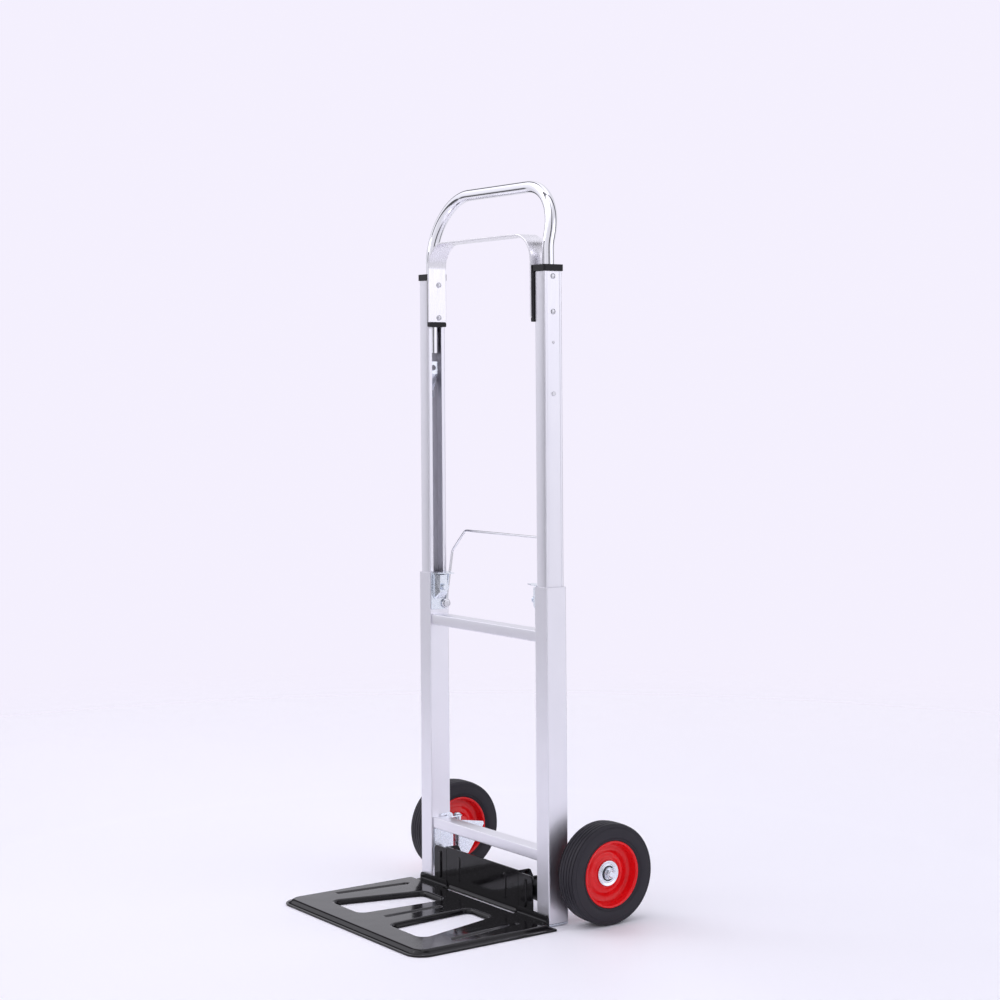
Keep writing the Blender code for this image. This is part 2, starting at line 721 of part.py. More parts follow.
def catch_plate(name, side):
    """A bent sheet in the channel: a riveted tab, a ramp, and a flat top with the pin's hole."""
    base = WEB_INSIDE_X - GAP
    proud = WEB_INSIDE_X - CATCH_PROUD + CATCH_SHEET
    levels = (0, CATCH_TAB, CATCH_TAB + CATCH_RAMP, CATCH_TAB + CATCH_RAMP + CATCH_TOP)
    near = [(base, levels[0]), (base, levels[1]), (proud, levels[2]), (proud, levels[3])]
    far = [(x - CATCH_SHEET, z) for x, z in reversed(near)]
    outline = [(side * x, z) for x, z in near + far]
    sheet = prism(outline, -CATCH_WIDTH / 2, CATCH_WIDTH / 2, "Y")
    plate = place(f"catch_plate_{name}", sheet, "upper_slide", (0, 0, CATCH_Z), "zinc")
    spot = (side * (proud - CATCH_SHEET / 2), PIN_Y, CATCH_Z + levels[3] - CATCH_TOP / 2)
    drill(plate, PIN_RADIUS + HOLE_GAP, "upper_slide", "X", spot, 4 * CATCH_SHEET)
    spot = (side * (base - CATCH_SHEET / 2), 0, CATCH_Z + CATCH_TAB / 2)
    drill(plate, CATCH_RIVET_RADIUS + HOLE_GAP, "upper_slide", "X", spot, 4 * CATCH_SHEET)


def catch_rivet(name, side):
    """The rivet through the catch plate's tab and the rail's web, with a head at each end."""
    inside = WEB_INSIDE_X - 2 * GAP - CATCH_SHEET
    profile = [
        (CATCH_RIVET_HEAD, inside - 0.001),
        (CATCH_RIVET_HEAD, inside),
        (CATCH_RIVET_RADIUS, inside),
        (CATCH_RIVET_RADIUS, RIVET_OUTSIDE_X),
        (CATCH_RIVET_HEAD, RIVET_OUTSIDE_X),
        (CATCH_RIVET_HEAD * 0.9, RIVET_OUTSIDE_X + 0.0007),
    ]
    at = (0, 0, CATCH_Z + CATCH_TAB / 2)
    turned_pin(f"catch_rivet_{name}", profile, side, "upper_slide", at)


def end_cap(name, side):
    """The moulding on top of the rail, with a skirt behind the brace and a ledge under it."""
    outside = RAIL_X + UPPER_WIDTH / 2 + CAP_OVERHANG
    low_x, high_x = between(side, BRACE_X + BRACE_THICKNESS + GAP, outside)
    half = UPPER_DEPTH / 2 + CAP_OVERHANG
    bottom = UPPER_TOP + GAP
    top_view = rounded_rectangle(low_x, high_x, -half, half, CAP_CORNER)
    block = prism(top_view, bottom, bottom + CAP_HEIGHT)
    cap = place(f"end_cap_{name}", block, "upper_slide", finish="plastic")
    low_x, high_x = between(side, SKIRT_X, SKIRT_X + SKIRT_THICKNESS)
    front, back = SKIRT_Y - SKIRT_WIDTH / 2, SKIRT_Y + SKIRT_WIDTH / 2
    foot = UPPER_TOP - BRACE_DROP
    skirt = rounded_rectangle(front, back, foot - BRACE_LEDGE, bottom + 0.001, 0.0015)
    add(cap, prism(skirt, low_x, high_x, "X"), "upper_slide")
    low_x, high_x = between(side, BRACE_X, SKIRT_X + SKIRT_THICKNESS - 0.001)
    ledge = rounded_rectangle(front, back, foot - BRACE_LEDGE, foot - GAP, 0.0015)
    add(cap, prism(ledge, low_x, high_x, "X"), "upper_slide")
    spot = (side * RAIL_X, 0, bottom + CAP_HEIGHT / 2)
    hole = circle((0, 0), HANDLE_RADIUS + HOLE_GAP, 16)
    cut(cap, prism(hole, -CAP_HEIGHT, CAP_HEIGHT), "upper_slide", spot)
    for drop in RIVET_DROPS:
        spot = (side * (SKIRT_X + SKIRT_THICKNESS / 2), 0, UPPER_TOP - drop)
        drill(cap, RIVET_RADIUS + HOLE_GAP, "upper_slide", "X", spot, 2 * SKIRT_THICKNESS)


def handle_tube():
    """A U of round tube: straight legs in the rails, a kink above the caps, and a grip."""
    kink = UPPER_TOP + HANDLE_KINK
    rise = UPPER_TOP + HANDLE_REACH - kink
    top_y = rise * math.tan(HANDLE_LEAN)
    half = [(RAIL_X, 0, UPPER_TOP - HANDLE_TAIL), (RAIL_X, 0, kink), (RAIL_X, top_y, kink + rise)]
    points = half + [(-x, y, z) for x, y, z in reversed(half)]
    radii = (HANDLE_KINK_BEND, HANDLE_BEND, HANDLE_BEND, HANDLE_KINK_BEND)
    path = bent_path(points, radii, 5)
    tube = swept(path, HANDLE_RADIUS, 12, bore=HANDLE_RADIUS - HANDLE_WALL)
    handle = place("handle_tube", tube, "upper_slide", finish="chrome")
    for _, side in SIDES:
        for drop in RIVET_DROPS:
            spot = (side * RAIL_X, 0, UPPER_TOP - drop)
            drill(handle, RIVET_RADIUS + HOLE_GAP, "upper_slide", "X", spot, 3 * HANDLE_RADIUS)


def handle_brace():
    """A flat strip bent into an arch that ties the two rails together under the grip."""
    foot = UPPER_TOP - BRACE_DROP
    outside = BRACE_X + BRACE_THICKNESS
    top = UPPER_TOP + BRACE_RISE + BRACE_THICKNESS
    outer_bend = BRACE_BEND + BRACE_THICKNESS
    steps = 7
    outer = [(outside, foot)]
    outer += arc((outside - outer_bend, top - outer_bend), outer_bend, 0, 90, steps)
    inner = [(BRACE_X, foot)]
    inner += arc((outside - outer_bend, top - outer_bend), BRACE_BEND, 0, 90, steps)
    outer += [(-x, z) for x, z in reversed(outer)]
    inner += [(-x, z) for x, z in reversed(inner)]
    strip = prism(outer + inner[::-1], -BRACE_WIDTH / 2, BRACE_WIDTH / 2, "Y")
    at = (0, BRACE_Y, 0)
    brace = place("handle_brace", strip, "upper_slide", at, finish="aluminium")
    for _, side in SIDES:
        for drop in RIVET_DROPS:
            spot = (side * (BRACE_X + BRACE_THICKNESS / 2), 0, UPPER_TOP - drop)
            drill(brace, RIVET_RADIUS + HOLE_GAP, "upper_slide", "X", spot, 3 * BRACE_THICKNESS)


def brace_rivet(name, side, drop):
    """A rivet through brace, skirt, handle tube and web, with a head at each end."""
    inside = BRACE_X - GAP
    profile = [
        (RIVET_HEAD * 0.55, inside - 0.0020),
        (RIVET_HEAD, inside - 0.0008),
        (RIVET_HEAD, inside),
        (RIVET_RADIUS, inside),
        (RIVET_RADIUS, RIVET_OUTSIDE_X),
        (RIVET_HEAD, RIVET_OUTSIDE_X),
        (RIVET_HEAD * 0.8, RIVET_OUTSIDE_X + 0.0009),
    ]
    turned_pin(name, profile, side, "upper_slide", (0, 0, UPPER_TOP - drop))


# ---- toe plate ----
def slot_corners(side):
    """The four corners of a lightening slot, anticlockwise, narrower at the rear."""
    corners = [(x, -SLOT_FRONT) for x in SLOT_FRONT_X]
    corners += [(x, -SLOT_REAR) for x in reversed(SLOT_REAR_X)]
    if side < 0:
        corners = [(-x, y) for x, y in reversed(corners)]
    return corners


def deck_outline(inset):
    """The toe plate's outline, its two front corners rounded most."""
    half = PLATE_WIDTH / 2 - inset
    front, rear = -PLATE_REACH + inset, UPSTAND_BACK - inset
    corner, small = PLATE_CORNER - inset, PLATE_REAR_CORNER
    points = arc((half - small, rear - small), small, 0, 90, 2)
    points += arc((-half + small, rear - small), small, 90, 180, 2)
    points += arc((-half + corner, front + corner), corner, 180, 270, 6)
    points += arc((half - corner, front + corner), corner, 270, 360, 6)
    return points


def toe_plate():
    """One pressed sheet: deck with turned-down slots, upright panel, upstands and hinge cheeks."""
    group = "toe_plate_fold"
    edge = PLATE_RIM + 0.0005
    lid = [
        (deck_outline(0), 0),
        (deck_outline(0), PLATE_RIM * 0.6),
        (deck_outline(0.001), PLATE_RIM),
        (deck_outline(0.003), edge),
        (deck_outline(PLATE_SHOULDER), PLATE_CROWN),
    ]
    plate = place("toe_plate", loft(lid), group, finish="enamel")
    skin = deck_outline(0.003 + PLATE_SHEET)
    hollow = [
        (skin, -0.002),
        (skin, PLATE_RIM - PLATE_SHEET),
        (deck_outline(PLATE_SHOULDER + 0.0015), PLATE_CROWN - PLATE_SHEET),
    ]
    cut(plate, loft(hollow), group)
    upright_panel(plate, group)
    for _, side in SIDES:
        low_x, high_x = between(side, PANEL_HALF_WIDTH - UPSTAND_LAP, RAIL_SPREAD / 2)
        band = rounded_rectangle(low_x, high_x, PLATE_RIM - 0.001, UPSTAND_TOP, UPSTAND_CORNER, 3)
        add(plate, prism(band, UPSTAND_FRONT, UPSTAND_BACK, "Y"), group)
        deck_slot(plate, side, group)
        start, end = SIDE_BEAD
        bead(plate, (side * start[0], start[1]), (side * end[0], end[1]), group)
    bead(plate, *MIDDLE_BEAD, group)


def upright_panel(plate, group):
    """The panel between the rails, its ramp, and at each end an ear and a hinge cheek."""
    wide = PANEL_HALF_WIDTH
    front, back = UPSTAND_BACK - 0.0008, UPSTAND_BACK + PLATE_SHEET
    panel = rounded_rectangle(-wide, wide, PLATE_CROWN - PLATE_SHEET, PANEL_TOP, 0.002)
    add(plate, prism(panel, front, back, "Y"), group)
    ramp_low = PLATE_CROWN - 0.0006
    ramp = [
        (UPSTAND_BACK - 0.0005, PANEL_RAMP_TOP),
        (UPSTAND_FRONT - PANEL_RAMP_REACH, ramp_low),
        (UPSTAND_BACK - 0.0005, ramp_low),
    ]
    add(plate, prism(ramp, -wide + 0.005, wide - 0.005, "X"), group)
    for _, side in SIDES:
        ear = [(side * x, z) for x, z in ear_outline()]
        add(plate, prism(ear, front, back, "Y"), group)
        rib = rod(EAR_RIB_RADIUS, UPSTAND_TOP - 0.002, PANEL_TOP - 0.009, "Z")
        add(plate, rib, group, (side * EAR_RIB_X, front + EAR_RIB_RADIUS / 2, 0))
        low_x, high_x = between(side, wide - PLATE_SHEET, wide)
        cheek = [(UPSTAND_BACK, EAR_BOTTOM + 0.006), (HINGE_Y - 0.006, HINGE_Z - 0.0165)]
        cheek += arc((HINGE_Y, HINGE_Z), CHEEK_RADIUS, -60, 45, 5)
        top = (HINGE_Y - 0.004, PANEL_TOP - CHEEK_CORNER)
        cheek += arc(top, CHEEK_CORNER, 45, 90, 2)
        cheek += [(UPSTAND_BACK, PANEL_TOP)]
        add(plate, prism(cheek, low_x, high_x, "X"), group)
        spot = (side * (wide - PLATE_SHEET / 2), HINGE_Y, HINGE_Z)
        drill(plate, HINGE_PIN_RADIUS + HOLE_GAP, group, "X", spot, 4 * PLATE_SHEET)


def ear_outline():
    """The right-hand ear: a flat extension of the panel with its top outer corner rounded."""
    inner, outer = PANEL_HALF_WIDTH - 0.002, EAR_HALF_WIDTH
    top = PANEL_TOP - EAR_DROP
    points = [(inner, top), (inner, EAR_BOTTOM), (outer, EAR_BOTTOM)]
    return points + arc((outer - EAR_CORNER, top - EAR_CORNER), EAR_CORNER, 0, 90, 4)


def deck_slot(plate, side, group):
    """A lightening slot through the deck, with a wall that flares down from its rim."""
    corners = slot_corners(side)

    def outline(distance):
        return rounded(grown(corners, distance), SLOT_CORNER + distance)

    low_wall = outline(SLOT_WALL + 0.0005)
    high_wall = outline(SLOT_WALL + SLOT_FLARE)
    add(plate, loft([(low_wall, 0.0004), (high_wall, PLATE_CROWN - 0.0002)]), group)
    low_cut, high_cut = outline(0), outline(SLOT_FLARE)
    funnel = [
        (low_cut, -0.003),
        (low_cut, 0.002),
        (high_cut, PLATE_CROWN + 0.0001),
        (high_cut, PLATE_CROWN + 0.004),
    ]
    cut(plate, loft(funnel), group)


def bead(plate, start, end, group):
    """A shallow round-ended hollow pressed into the deck between two places."""
    along = Vector(end) - Vector(start)
    turn = math.degrees(math.atan2(along.y, along.x))
    steps = 4
    floor_z, rim_z = PLATE_CROWN - BEAD_DEPTH, PLATE_CROWN + 0.001
    layers = []
    for radius, z in ((BEAD_HALF_WIDTH * 0.4, floor_z), (BEAD_HALF_WIDTH * 1.5, rim_z)):
        outline = arc(end, radius, turn - 90, turn + 90, steps)
        outline += arc(start, radius, turn + 90, turn + 270, steps)
        layers.append((outline, z))
    cut(plate, loft(layers), group)


def toe_hinge_bush(name, side):
    """The spacer between a hinge cheek and the rail, with a rounded stop on top."""
    inner = PANEL_HALF_WIDTH + GAP
    outer = WHEEL_BRACKET_X - GAP
    radius = HINGE_BUSH_RADIUS
    profile = [
        (HINGE_PIN_RADIUS + HOLE_GAP, inner),
        (radius - HINGE_BUSH_EDGE, inner),
        (radius, inner + HINGE_BUSH_EDGE),
        (radius, outer - HINGE_BUSH_EDGE),
        (radius - HINGE_BUSH_EDGE, outer),
        (HINGE_PIN_RADIUS + HOLE_GAP, outer),
    ]
    profile = [(size, side * x) for size, x in profile]
    at = (0, HINGE_Y, HINGE_Z)
    bush = place(f"toe_hinge_bush_{name}", turned(profile, 18), "toe_plate_fold", at, "plastic")
    for share in KNOB_SHARES:
        x = side * (inner + (outer - inner) * share)
        knob = rod(KNOB_RADIUS, radius - KNOB_RADIUS, radius + KNOB_RADIUS, "Z", 8)
        add(bush, knob, "toe_plate_fold", (x, HINGE_Y, HINGE_Z))


def toe_hinge_pin(name, side):
    """The pin that the toe plate turns on, headed inside the cheek, ending inside the rail."""
    head = PANEL_HALF_WIDTH - PLATE_SHEET - GAP
    profile = [
        (HINGE_PIN_HEAD * 0.7, head - 0.003),
        (HINGE_PIN_HEAD, head - 0.002),
        (HINGE_PIN_HEAD, head),
        (HINGE_PIN_RADIUS, head),
        (HINGE_PIN_RADIUS, RAIL_INNER_X + LOWER_WALL + HINGE_PIN_TAIL),
    ]
    turned_pin(f"toe_hinge_pin_{name}", profile, side, "truck", (0, HINGE_Y, HINGE_Z))


# ---- wheel brackets and wheels ----
def wheel_bracket(name, side):
    """The fixed bracket: a plate on the rail's inner face and two lugs for the swing pin."""
    bar_bottom = LOW_BAR_TOP - BAR_HEIGHT - 0.001
    bar_top = LOW_BAR_TOP + 0.001
    behind_bar = BAR_Y + BAR_DEPTH / 2 + GAP
    front, horn = WHEEL_BRACKET_FRONT, -0.003
    rear = LOWER_DEPTH / 2 + 0.004
    top = WHEEL_BRACKET_TOP + WHEEL_BRACKET_HORN
    outline = [
        (front, WHEEL_BRACKET_BOTTOM),
        (rear, WHEEL_BRACKET_BOTTOM),
        (rear, top - BRACKET_CHAMFER),
        (rear - BRACKET_CHAMFER, top),
        (horn + BRACKET_CHAMFER, top),
        (horn, top - BRACKET_CHAMFER / 2),
        (horn, bar_top),
        (behind_bar, bar_top),
        (behind_bar, bar_bottom),
        (front, bar_bottom),
    ]
    low_x, high_x = between(side, WHEEL_BRACKET_X, WHEEL_BRACKET_X + WHEEL_BRACKET_SHEET)
    plate = prism(outline, low_x, high_x, "X")
    bracket = place(f"wheel_bracket_{name}", plate, "truck", finish="zinc")
    lug_front = LOWER_DEPTH / 2 + LUG_GAP
    for low_z in (WHEEL_BRACKET_BOTTOM, WHEEL_BRACKET_TOP - LUG_SHEET):
        lug = [(WHEEL_BRACKET_X, lug_front), (SWING_X + LUG_RADIUS, lug_front)]
        lug += arc((SWING_X, SWING_Y), LUG_RADIUS, 0, 180, 6)
        lug += [(WHEEL_BRACKET_X, rear)]
        lug = [(side * x, y) for x, y in lug]
        add(bracket, prism(lug, low_z, low_z + LUG_SHEET), "truck")
        spot = (side * SWING_X, SWING_Y, low_z + LUG_SHEET / 2)
        drill(bracket, SWING_PIN_RADIUS + HOLE_GAP, "truck", "Z", spot, 4 * LUG_SHEET)
    spot = (side * (WHEEL_BRACKET_X + WHEEL_BRACKET_SHEET / 2), HINGE_Y, HINGE_Z)
    drill(bracket, HINGE_PIN_RADIUS + HOLE_GAP, "truck", "X", spot, 3 * WHEEL_BRACKET_SHEET)


def swing_pin(name, side):
    """The upright pin through the fixed bracket's lugs, with a domed head on top."""
    head = WHEEL_BRACKET_TOP + GAP
    profile = [
        (SWING_PIN_RADIUS, WHEEL_BRACKET_BOTTOM - 0.003),
        (SWING_PIN_RADIUS, head),
        (SWING_HEAD_RADIUS, head),
        (SWING_HEAD_RADIUS, head + 0.0015),
        (SWING_HEAD_RADIUS * 0.55, head + 0.0028),
    ]
    pin = turned(profile, ROUND_STEPS, "Z", closed=False)
    place(f"swing_pin_{name}", pin, "truck", (side * SWING_X, SWING_Y, 0), "steel")


def swing_bracket(name, side):
    """The turning bracket: a barrel on the swing pin and the plate that holds the axle."""
    group = f"wheel_swing_{name}"
    low = WHEEL_BRACKET_BOTTOM + LUG_SHEET + GAP
    high = WHEEL_BRACKET_TOP - LUG_SHEET - GAP
    at = (side * SWING_X, SWING_Y, 0)
    barrel = rod(BARREL_RADIUS, low, high, "Z", 16)
    bracket = place(f"swing_bracket_{name}", barrel, group, at, "zinc")
    rear = AXLE_Y + SWING_REAR
    outline = [
        (SWING_Y, low + 0.002),
        (SWING_Y + 0.022, low + 0.004),
        (AXLE_Y - 0.002, WHEEL_RADIUS - 0.028),
        (rear, WHEEL_RADIUS + 0.009),
        (rear - 0.001, SWING_REAR_TOP),
        (SWING_Y + 0.012, SWING_TOP - 0.001),
        (SWING_Y, SWING_TOP),
    ]
    low_x, high_x = between(side, SWING_PLATE_X, SWING_PLATE_X + SWING_SHEET)
    add(bracket, prism(outline, low_x, high_x, "X"), group)
    spot = (*at[:2], (low + high) / 2)
    drill(bracket, SWING_PIN_RADIUS + HOLE_GAP, group, "Z", spot, 2 * high)
    spot = (side * (SWING_PLATE_X + SWING_SHEET / 2), AXLE_Y, WHEEL_RADIUS)
    drill(bracket, AXLE_RADIUS + HOLE_GAP, group, "X", spot, 4 * SWING_SHEET)


def axle_parts(name, side):
    """The axle with its head inside the swing plate, then spacer, washer and nut."""
    group = f"wheel_swing_{name}"
    at = (0, AXLE_Y, WHEEL_RADIUS)
    head = SWING_PLATE_X - GAP
    washer_in = WHEEL_X + HUB_BOSS_OUT + GAP + FLANGE_THICKNESS + GAP
    nut_in = washer_in + WASHER_THICKNESS + GAP
    end = nut_in + NUT_THICKNESS + AXLE_TAIL
    profile = [
        (AXLE_HEAD_RADIUS, head - AXLE_HEAD),
        (AXLE_HEAD_RADIUS, head),
        (AXLE_RADIUS, head),
        (AXLE_RADIUS, end - 0.001),
        (AXLE_RADIUS - 0.001, end),
    ]
    turned_pin(f"axle_{name}", profile, side, group, at)
    bore = circle((0, 0), AXLE_RADIUS + HOLE_GAP, ROUND_STEPS)
    spacer_in = SWING_PLATE_X + SWING_SHEET + GAP
    spacer_out = WHEEL_X - HUB_BOSS_IN - GAP
    spacer = circle((0, 0), SPACER_RADIUS, ROUND_STEPS)
    washer = circle((0, 0), WASHER_RADIUS, ROUND_STEPS)
    rings = (
        ("axle_spacer", spacer, spacer_in, spacer_out),
        ("axle_washer", washer, washer_in, washer_in + WASHER_THICKNESS),
        ("axle_nut", hexagon(NUT_RADIUS), nut_in, nut_in + NUT_THICKNESS),
    )
    for part, outer, inner_x, outer_x in rings:
        ring = pipe_prism(outer, bore, *between(side, inner_x, outer_x), "X")
        place(f"{part}_{name}", ring, group, at, "steel")


def hexagon(radius):
    """Six corners with the middle of each flat between them, twelve points in all."""
    corners = circle((0, 0), radius, 6)
    points = []
    for (u0, v0), (u1, v1) in zip(corners, corners[1:] + corners[:1]):
        points += [(u0, v0), ((u0 + u1) / 2, (v0 + v1) / 2)]
    return points


def wheel_tyre(name, side):
    """A solid tyre with rounded shoulders."""
    half = WHEEL_WIDTH / 2
    seat = HUB_RADIUS + GAP
    half_profile = [
        (seat, half - 0.0030),
        (seat + 0.0060, half - 0.0012),
        (WHEEL_RADIUS - 0.0100, half),
        (WHEEL_RADIUS - 0.0042, half - 0.0014),
        (WHEEL_RADIUS - 0.0012, half - 0.0046),
        (WHEEL_RADIUS, half - 0.0090),
    ]
    profile = half_profile + [(radius, -x) for radius, x in reversed(half_profile)]
    at = (side * WHEEL_X, AXLE_Y, WHEEL_RADIUS)
    place(f"tyre_{name}", turned(profile, 36), f"wheel_spin_{name}", at, "rubber")


def wheel_hub(name, side):
    """A pressed disc wheel: rim, stepped dish and centre boss, deeper on the inner side."""
    lip = HUB_RADIUS - HUB_LIP
    half = HUB_WIDTH / 2
    outer_face = [
        (BEARING_RADIUS + GAP, HUB_BOSS_OUT),
        (0.0215, HUB_BOSS_OUT),
        (0.0245, HUB_BOSS_OUT - 0.0012),
        (0.0300, HUB_BOSS_OUT - 0.0018),
        (0.0350, 0.0015),
        (0.0415, 0.0015),
        (lip - 0.0010, 0.0070),
        (lip, half),
        (HUB_RADIUS, half),
    ]
    inner_face = [
        (HUB_RADIUS, -half),
        (lip, -half),
        (lip - 0.0010, -0.0060),
        (0.0400, -0.0030),
        (0.0340, -0.0030),
        (0.0300, -0.0060),
        (0.0240, -0.0050),
        (0.0190, -HUB_BOSS_IN),
        (BEARING_RADIUS + GAP, -HUB_BOSS_IN),
    ]
    profile = [(radius, side * x) for radius, x in outer_face + inner_face]
    at = (side * WHEEL_X, AXLE_Y, WHEEL_RADIUS)
    place(f"hub_{name}", turned(profile, 24), f"wheel_spin_{name}", at, "paint")


def hub_bearing(name, side):
    """A flanged bearing bush, its zinc flange covering the hub's centre from outside."""
    bore = AXLE_RADIUS + HOLE_GAP
    inside = HUB_BOSS_OUT + GAP
    profile = [
        (bore, -HUB_BOSS_IN + 0.0005),
        (BEARING_RADIUS, -HUB_BOSS_IN + 0.0005),
        (BEARING_RADIUS, inside),
        (BEARING_FLANGE, inside),
        (BEARING_FLANGE - 0.001, inside + 0.0010),
        (0.0120, inside + FLANGE_THICKNESS),
        (bore, inside + FLANGE_THICKNESS),
    ]
    profile = [(radius, side * x) for radius, x in profile]
    at = (side * WHEEL_X, AXLE_Y, WHEEL_RADIUS)
    place(f"hub_bearing_{name}", turned(profile, 20), f"wheel_spin_{name}", at, "zinc")


# ---- the whole truck ----
def make_groups():
    make_group("truck", (0, 0, 0))
    make_group("upper_slide", (0, 0, UPPER_BOTTOM), "truck")
    make_group("bail_pull", (0, BAIL_EYE_Y, BAIL_EYE_Z), "truck")
    make_group("toe_plate_fold", (0, HINGE_Y, HINGE_Z), "truck")
    for name, side in SIDES:
        make_group(f"lock_pin_slide_{name}", (side * TIP_X, PIN_Y, PIN_Z), "truck")
        make_group(f"wheel_swing_{name}", (side * SWING_X, SWING_Y, 0), "truck")
        spot = (side * WHEEL_X, AXLE_Y, WHEEL_RADIUS)
        make_group(f"wheel_spin_{name}", spot, f"wheel_swing_{name}")


def main():
    for obj in list(bpy.data.objects):
        bpy.data.objects.remove(obj, do_unlink=True)
    MATERIALS.update(make_materials())
    make_groups()
    crossbar("mid_crossbar", MID_BAR_TOP)
    crossbar("low_crossbar", LOW_BAR_TOP)
    handle_tube()
    handle_brace()
    release_bail()
    toe_plate()
    paired = (
        lower_rail,
        rail_foot,
        release_bracket,
        bail_stud,
        lock_pin,
        lock_spring,
        upper_rail,
        slide_bush,
        catch_plate,
        catch_rivet,
        end_cap,
        toe_hinge_bush,
        toe_hinge_pin,
        wheel_bracket,
        swing_pin,
        swing_bracket,
        axle_parts,
        wheel_tyre,
        wheel_hub,
        hub_bearing,
    )
    for name, side in SIDES:
        for make in paired:
            make(name, side)
        for place_name, drop in zip(("high", "low"), RIVET_DROPS):
            brace_rivet(f"brace_rivet_{place_name}_{name}", side, drop)


main()
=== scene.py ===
"""The looks of the folding hand truck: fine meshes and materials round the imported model.

Metres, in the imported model's frame. Most pieces are made in truck coordinates, whose origin is
on the floor midway between the two rails, and are then moved by RAIL_Y. A wheel's pieces are
made round the wheel's own centre.
"""

import math

import bmesh
import bpy
from mathutils import Matrix, Vector


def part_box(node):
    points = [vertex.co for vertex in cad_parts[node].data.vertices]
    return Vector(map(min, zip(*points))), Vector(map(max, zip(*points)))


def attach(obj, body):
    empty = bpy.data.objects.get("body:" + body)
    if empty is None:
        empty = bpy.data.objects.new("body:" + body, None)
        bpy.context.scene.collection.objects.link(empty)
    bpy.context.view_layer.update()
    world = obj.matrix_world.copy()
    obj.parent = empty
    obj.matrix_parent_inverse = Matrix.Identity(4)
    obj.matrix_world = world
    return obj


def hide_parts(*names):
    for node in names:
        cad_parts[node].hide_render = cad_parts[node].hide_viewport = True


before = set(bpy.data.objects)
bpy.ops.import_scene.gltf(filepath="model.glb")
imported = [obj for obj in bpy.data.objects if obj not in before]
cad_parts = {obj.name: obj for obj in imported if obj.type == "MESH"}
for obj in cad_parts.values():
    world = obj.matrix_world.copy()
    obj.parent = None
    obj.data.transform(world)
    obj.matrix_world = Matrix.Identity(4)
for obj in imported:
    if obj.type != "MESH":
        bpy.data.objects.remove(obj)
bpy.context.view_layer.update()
SIDES = (("left", -1), ("right", 1))


# ---- places from the frame ----
def middle(node):
    low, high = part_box(node)
    return (low + high) / 2


rail_low, rail_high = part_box("lower_rail_right")
upper_low, upper_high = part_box("upper_rail_right")
brace_low, brace_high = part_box("handle_brace")
handle_low, handle_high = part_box("handle_tube")
plate_low, plate_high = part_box("toe_plate")
tyre_low, tyre_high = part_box("tyre_right")
hub_low, hub_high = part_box("hub_right")
_, bail_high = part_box("release_bail")
mid_bar_low, mid_bar_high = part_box("mid_crossbar")
low_bar_low, low_bar_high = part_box("low_crossbar")

RAIL_X = (rail_low.x + rail_high.x) / 2
RAIL_Y = (rail_low.y + rail_high.y) / 2
RAIL_WIDTH = rail_high.x - rail_low.x
RAIL_DEPTH = rail_high.y - rail_low.y
UPPER_WIDTH = upper_high.x - upper_low.x
UPPER_DEPTH = upper_high.y - upper_low.y
UPPER_TOP = upper_high.z
WHEEL_RADIUS = (tyre_high.z - tyre_low.z) / 2
WHEEL_WIDTH = tyre_high.x - tyre_low.x
HUB_RADIUS = (hub_high.z - hub_low.z) / 2
HUB_WIDTH = hub_high.x - hub_low.x

# ---- rails and handle ----
RAIL_WALL = 0.0016
RAIL_CORNER = 0.0016
UPPER_WALL = 0.0016
UPPER_WEB = 0.0022
UPPER_LIP = 0.009
UPPER_GROOVE = 0.0006
UPPER_GROOVE_MARGIN = 0.004
BAR_WALL = 0.0012
HANDLE_RADIUS = 0.0092
HANDLE_WALL = 0.0015
HANDLE_BEND = 0.078
HANDLE_KINK = 0.040
HANDLE_KINK_BEND = 0.060
BRACE_THICKNESS = 0.003
BRACE_BEND = 0.038
RIVET_DROPS = (0.0075, 0.0600)
RIVET_RADIUS = 0.002

# ---- release bail ----
BAIL_RADIUS = 0.002
BAIL_EYE_RADIUS = 0.0078
BAIL_EYE_BORE = 0.0038
BAIL_SHOULDER = 0.084
BAIL_RISE = 0.1175
BAIL_NARROWING = 0.0295
BAIL_BENDS = (0.012, 0.010, 0.010, 0.012)

# ---- toe plate ----
PLATE_CORNER = 0.028
PLATE_SHEET = 0.0022
PLATE_CROWN = 0.0085
PLATE_RIM = 0.0028
PLATE_SHOULDER = 0.0135
UPSTAND_TOP = 0.0175
UPSTAND_LAP = 0.004
UPSTAND_BACK = -RAIL_DEPTH / 2 - 0.001
UPSTAND_FRONT = UPSTAND_BACK - PLATE_SHEET
PANEL_HALF_WIDTH = 0.0975
PANEL_SHEET = 0.003
PANEL_TOP = 0.0705
PANEL_FACE = UPSTAND_BACK - 0.0008
EAR_HALF_WIDTH = 0.1315
EAR_BOTTOM = 0.010
EAR_CORNER = 0.008
EAR_RIB_X = 0.1140
EAR_DROP = 0.0025
CHEEK_RADIUS = 0.0125
RAMP_TOP = 0.0162
RAMP_REACH = 0.004
SLOT_CORNER = 0.011
SLOT_ROLL = 0.0068
SLOT_CORNERS = ((0.043, -0.211), (0.127, -0.211), (0.092, -0.068), (0.034, -0.068))
BEAD_HALF_WIDTH = 0.0078
BEAD_DEPTH = 0.0021
BEADS = (
    ((0.162, -0.178), (0.150, -0.062)),
    ((-0.150, -0.062), (-0.162, -0.178)),
    ((0.0, -0.190), (0.0, -0.100)),
)
HINGE_Y = 0.003

# ---- wheels ----
GROOVE_DEPTH = 0.0018
GROOVE_HALF_WIDTH = 0.0008
GROOVES = (0.0156, 0.0094, 0.0032)
PIN_BORE = 0.0053

